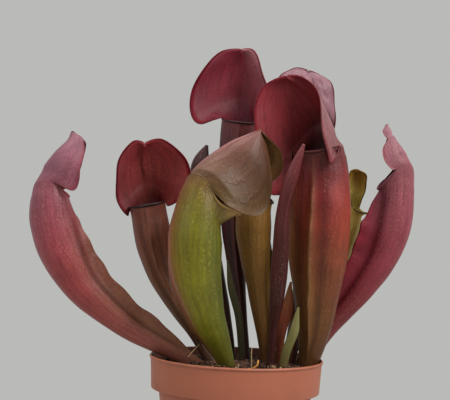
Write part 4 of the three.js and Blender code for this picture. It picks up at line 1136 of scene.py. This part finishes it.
def build_rhizome(material):
    """The creeping stem: a knobbly ringed body that the leaves rise from."""
    stem = [(-32, -2, 88, 2, 1.5), (-26, -2, 89, 9, 5), (-12, 0, 90, 13, 6.3), (6, 3, 90.5, 17, 7),
            (24, 3, 90.5, 16, 6.6), (40, 5, 90, 14, 6.4), (50, 6, 89, 8, 4.8), (54, 7, 88, 2, 1.5)]
    rows, cols = 110, 72
    t = np.arange(rows + 1) / rows
    u = np.arange(cols) * 2 * math.pi / cols
    c, a, b, _, ven, lat = stem_frames(dict(stem=stem, face=(0, 0, 1)), t)
    ring = 1 + 0.035 * np.abs(np.sin(t * 62))[:, None, None]
    cu, su = np.cos(u)[None, :, None], np.sin(u)[None, :, None]
    pts = (c[:, None] - ven[:, None] * b[:, None, None] * cu * ring
           + lat[:, None] * a[:, None, None] * su * ring)
    pts = pts + unit(pts - c[:, None]) * (wobble(pts, 6, 21) * 0.9 + wobble(pts, 2.2, 22) * 0.4)[..., None]
    verts = np.concatenate([pts.reshape(-1, 3), pts[0].mean(0)[None], pts[-1].mean(0)[None]])
    faces = grid_faces(rows + 1, cols, True)
    for j in range(cols):
        k = (j + 1) % cols
        faces.append(((rows + 1) * cols, j, k))
        faces.append(((rows + 1) * cols + 1, rows * cols + k, rows * cols + j))
    return settle(make_object("rhizome_body", verts, faces, material), "rhizome_skin", "rhizome")


PEAT = make_peat()
BARK = make_bark("bark_brown", (28, 17, 12), (92, 60, 42), (1.0, 3.0, 1.0))
DRY_LEAF = make_bark("dry_leaf", (116, 82, 52), (184, 152, 112), (3.0, 1.0, 1.0))
STRAW = make_bark("straw", (140, 108, 70), (206, 178, 128), (1.0, 1.0, 0.2))
ORANGE_BRACT = make_bark("orange_bract", (168, 100, 36), (222, 168, 84), (2.0, 1.0, 1.0))
soil = build_soil(PEAT)
build_rhizome(make_bark("rhizome_skin", (56, 34, 26), (112, 72, 52)))


def build_chip(name, node, seed, material):
    """A split bark chip with broken edges, in the place of its CAD node."""
    low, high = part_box(node)
    centre = (low + high) / 2 / MM
    half = (high - low) / 2 / MM
    rng = random.Random(seed)
    rows, cols = 9, 26
    verts = []
    for i in range(rows):
        level = i / (rows - 1) * 2 - 1
        shrink = (1 - abs(level) ** 6 * 0.22)
        for j in range(cols):
            a = 2 * math.pi * j / cols
            r = shrink * (0.86 + 0.12 * math.sin(3 * a + seed) + 0.05 * math.sin(7 * a + seed * 2))
            lift = 0.25 * math.sin(a * 2 + seed) * half.z
            verts.append((centre.x + half.x * r * math.cos(a) + rng.uniform(-0.1, 0.1),
                          centre.y + half.y * r * math.sin(a) + rng.uniform(-0.1, 0.1),
                          centre.z + half.z * level * 0.8 + lift * 0.4 + rng.uniform(-0.08, 0.08)))
    base = len(verts)
    verts += [tuple(np.mean(verts[:cols], 0)), tuple(np.mean(verts[base - cols:], 0))]
    faces = [tuple(reversed(f)) for f in grid_faces(rows, cols, True)]
    for j in range(cols):
        k = (j + 1) % cols
        faces.append((base, k, j))
        faces.append((base + 1, base - cols + j, base - cols + k))
    obj = make_object(name, verts, faces, material, smooth=False)
    return settle(obj, "bark", node)


for k, node in enumerate(n for n in sorted(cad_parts) if n.startswith("bark_chip")):
    build_chip("chip_" + node[10:], node, 31 + k, BARK)


# ---------------------------------------------------------------- crumbs on the soil
def scatter_tree(name, material, seed):
    """Geometry nodes that strew irregular crumbs over a surface."""
    tree = bpy.data.node_groups.new(name, "GeometryNodeTree")
    face = tree.interface
    face.new_socket("Geometry", in_out="INPUT", socket_type="NodeSocketGeometry")
    for label, value in (("Density", 100000.0), ("Smallest", 0.0005), ("Largest", 0.0015),
                         ("Flatness", 0.6)):
        face.new_socket(label, in_out="INPUT", socket_type="NodeSocketFloat").default_value = value
    face.new_socket("Geometry", in_out="OUTPUT", socket_type="NodeSocketGeometry")
    gin, gout = tree.nodes.new("NodeGroupInput"), tree.nodes.new("NodeGroupOutput")
    link = tree.links.new
    normal = tree.nodes.new("GeometryNodeInputNormal")
    split = put(tree, "ShaderNodeSeparateXYZ", {0: normal.outputs[0]})
    up = put(tree, "FunctionNodeCompare", {0: split.outputs[2], 1: 0.35}, operation="GREATER_THAN")
    place = put(tree, "ShaderNodeSeparateXYZ", {0: tree.nodes.new("GeometryNodeInputPosition").outputs[0]})
    flat = put(tree, "ShaderNodeCombineXYZ", {0: place.outputs[0], 1: place.outputs[1]})
    reach = put(tree, "ShaderNodeVectorMath", {0: flat.outputs[0]}, operation="LENGTH")
    edge = put(tree, "ShaderNodeMath", {0: gin.outputs["Largest"], 1: -1.7, 2: SOIL_EDGE * MM},
               operation="MULTIPLY_ADD")
    within = put(tree, "FunctionNodeCompare", {0: reach.outputs["Value"], 1: edge.outputs[0]},
                 operation="LESS_THAN")
    chosen = put(tree, "FunctionNodeBooleanMath", {0: up.outputs[0], 1: within.outputs[0]}, operation="AND")
    points = put(tree, "GeometryNodeDistributePointsOnFaces", {"Mesh": gin.outputs["Geometry"],
                 "Selection": chosen.outputs[0], "Density": gin.outputs["Density"], "Seed": seed})
    crumb = put(tree, "GeometryNodeMeshIcoSphere", {"Radius": 1.0, "Subdivisions": 2})
    jag = put(tree, "ShaderNodeTexNoise", {"Scale": 1.3, "Detail": 1.0}, noise_dimensions="3D")
    push = vector(tree, "SUBTRACT", jag.outputs["Color"], (0.5, 0.5, 0.5))
    far = vector(tree, "SCALE", push, 1.6)
    rough = put(tree, "GeometryNodeSetPosition", {"Geometry": crumb.outputs["Mesh"], "Offset": far})
    turn = put(tree, "FunctionNodeRandomValue", {"Max": (6.283, 6.283, 6.283), "Seed": seed + 1},
               data_type="FLOAT_VECTOR")
    size = put(tree, "FunctionNodeRandomValue", {2: gin.outputs["Smallest"], 3: gin.outputs["Largest"],
                                                 "Seed": seed + 2}, data_type="FLOAT")
    thick = put(tree, "ShaderNodeMath", {0: size.outputs[1], 1: gin.outputs["Flatness"]},
                operation="MULTIPLY")
    long = put(tree, "FunctionNodeRandomValue", {2: 0.7, 3: 1.7, "Seed": seed + 3}, data_type="FLOAT")
    wide = put(tree, "ShaderNodeMath", {0: size.outputs[1], 1: long.outputs[1]}, operation="MULTIPLY")
    scale = put(tree, "ShaderNodeCombineXYZ", {0: wide.outputs[0], 1: size.outputs[1], 2: thick.outputs[0]})
    inst = put(tree, "GeometryNodeInstanceOnPoints",
               {"Points": points.outputs["Points"], "Instance": rough.outputs["Geometry"],
                "Rotation": turn.outputs[0], "Scale": scale.outputs[0]})
    real = put(tree, "GeometryNodeRealizeInstances", {"Geometry": inst.outputs[0]})
    painted = put(tree, "GeometryNodeSetMaterial", {"Geometry": real.outputs[0], "Material": material})
    link(painted.outputs[0], gout.inputs[0])
    return tree


def strew(name, slot, source, material, seed, **sizes):
    """Crumbs strewn over a copy of the source's surface, as one plain mesh."""
    obj = bpy.data.objects.new(name, source.data.copy())
    bpy.context.scene.collection.objects.link(obj)
    mod = obj.modifiers.new("strew", "NODES")
    mod.node_group = scatter_tree(name + "_tree", material, seed)
    for item in mod.node_group.interface.items_tree:
        if item.in_out == "INPUT" and item.name in sizes:
            mod[item.identifier] = sizes[item.name]
    plain_mesh(obj)
    obj.data.materials.clear()
    obj.data.materials.append(material)
    obj.data.polygons.foreach_set("material_index", [0] * len(obj.data.polygons))
    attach(obj, "root")
    return obj


strew("peat_crumbs", "peat_soil", soil, PEAT, 5,
      Density=110000.0, Smallest=0.0005, Largest=0.0015, Flatness=0.7)
strew("bark_crumbs", "bark", soil, BARK, 9,
      Density=34000.0, Smallest=0.001, Largest=0.0028, Flatness=0.45)
strew("pale_flakes", "bark", soil, DRY_LEAF, 14,
      Density=7000.0, Smallest=0.0008, Largest=0.002, Flatness=0.2)


def build_strands(name, material, strands, sides=6):
    """Thin curved strands with tapering ends: each is (points, radius) in mm."""
    verts, faces = [], []
    for points, radius in strands:
        rows = 14
        t = np.linspace(0, 1, rows)
        line = curve(points, t)
        flow = unit(np.gradient(line, axis=0))
        side = unit(np.cross(flow, (0.31, 0.17, 0.93)))
        up = np.cross(side, flow)
        size = radius * (0.35 + 0.65 * np.sin(math.pi * (0.1 + 0.8 * t)))
        a = np.arange(sides) * 2 * math.pi / sides
        rings = line[:, None] + side[:, None] * (size[:, None] * np.cos(a))[..., None] \
            + up[:, None] * (size[:, None] * np.sin(a))[..., None]
        base = len(verts)
        verts += [tuple(p) for p in rings.reshape(-1, 3)] + [tuple(line[0]), tuple(line[-1])]
        for f in grid_faces(rows, sides, True, base):
            faces.append(tuple(reversed(f)))
        last = base + (rows - 1) * sides
        for j in range(sides):
            k = (j + 1) % sides
            faces.append((base + rows * sides, base + k, base + j))
            faces.append((base + rows * sides + 1, last + j, last + k))
    obj = make_object(name, verts, faces, material)
    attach(obj, "root")
    return obj


def random_fibres(count, seed, lengths=(2.5, 8.0), radii=(0.12, 0.32), reach=50.0):
    """Short bent fibres lying on the soil."""
    rng = random.Random(seed)
    out = []
    for _ in range(count):
        r, a, turn = reach * math.sqrt(rng.random()), rng.uniform(0, 6.283), rng.uniform(0, 6.283)
        x, y, length = r * math.cos(a), r * math.sin(a), rng.uniform(*lengths)
        points = []
        for k in range(4):
            d = (k / 3 - 0.5) * length
            px = x + d * math.cos(turn) + rng.uniform(-0.8, 0.8)
            py = y + d * math.sin(turn) + rng.uniform(-0.8, 0.8)
            shrink = min(1.0, reach / max(1e-6, math.hypot(px, py)))
            points.append((px * shrink, py * shrink, soil_top(px, py) + rng.uniform(0.4, 2.2)))
        out.append((points, rng.uniform(*radii)))
    return out


build_strands("peat_fibres", BARK, random_fibres(170, 41))
build_strands("bark_shards", BARK, random_fibres(110, 43, (3.0, 7.5), (0.5, 1.2), 48.0))
build_strands("pale_fibres", STRAW, random_fibres(50, 42))
build_strands("dry_shards", DRY_LEAF, random_fibres(36, 44, (2.5, 5.0), (0.3, 0.7), 48.0))
build_strands("straw_stalk", STRAW, [
    ([(9.5, -30, 93), (10, -30, 99), (9.6, -29, 105), (9.8, -28, 110)], 0.26)])
build_strands("pale_twig", STRAW, [
    ([(-33, -22, 101), (-29.5, -22, 105.5), (-25.5, -22, 110)], 0.3)])
build_strands("dead_tip", BARK, [
    ([(-25.5, -22, 110), (-27, -22, 112), (-27.5, -22, 114)], 0.4)])
build_strands("orange_bracts", ORANGE_BRACT, [
    ([(4.5, -45, 95.5), (8, -46, 97.5), (11, -45, 96)], 1.3),
    ([(10, -38, 97), (13.5, -38, 99.5), (14, -37, 103)], 0.7)])


# ---------------------------------------------------------------- stage, lights, camera
def add_floor():
    """A plain pale disc under the pot."""
    mat, tree, bsdf = new_material("floor_pale", Roughness=0.85)
    place = put(tree, "ShaderNodeTexCoord").outputs["Object"]
    soft = use_group(tree, MOTTLE, {"Colour": colour(168, 168, 165), "Place": place, "Size": 3.0,
                                    "Strength": 0.02})
    tree.links.new(soft.outputs["Colour"], bsdf.inputs["Base Color"])
    verts, faces = lathe([(0, -6), (FLOOR_R, -6), (FLOOR_R, 0), (0, 0)], 96)
    make_object("floor", verts, faces, mat, smooth=False)


def add_area(name, place, size, power):
    """A round soft light at a place in metres, aimed at the middle of the plant."""
    light = bpy.data.lights.new(name, "AREA")
    light.shape = "DISK"
    light.size = size
    light.energy = power
    obj = bpy.data.objects.new(name, light)
    obj.location = place
    obj.rotation_mode = "QUATERNION"
    obj.rotation_quaternion = (LIGHT_TARGET - Vector(place)).to_track_quat("-Z", "Y")
    bpy.context.scene.collection.objects.link(obj)


FLOOR_R = 400.0           # radius of the floor disc, mm
BACKGROUND = colour(186, 187, 184)
LIGHT_TARGET = Vector((0, 0, 0.2))
add_floor()
world = bpy.data.worlds.new("studio")
world.use_nodes = True
world.node_tree.nodes["Background"].inputs[0].default_value = BACKGROUND
world.node_tree.nodes["Background"].inputs[1].default_value = 1.0
bpy.context.scene.world = world
add_area("key", (1.0, -0.8, 1.2), 0.9, 24.0)
add_area("top", (-0.2, 0.1, 1.5), 1.2, 11.0)
add_area("fill", (-1.1, -0.9, 0.7), 1.0, 4.0)

CAMERA_ASIDE = -0.0124     # camera place left of the pot's axis, metres
CAMERA_DISTANCE = 0.865    # in front of the pot's axis
CAMERA_HEIGHT = RIM_Z * MM + 0.108
CAMERA_ROLL = -2.4         # degrees
lens = bpy.data.cameras.new("camera")
lens.sensor_width = 36.0
lens.lens = 100.0
camera = bpy.data.objects.new("camera", lens)
camera.location = (CAMERA_ASIDE, -CAMERA_DISTANCE, CAMERA_HEIGHT)
camera.rotation_euler = (math.radians(90), math.radians(CAMERA_ROLL), 0)
bpy.context.scene.collection.objects.link(camera)
bpy.context.scene.camera = camera
bpy.context.scene.view_settings.view_transform = "Standard"
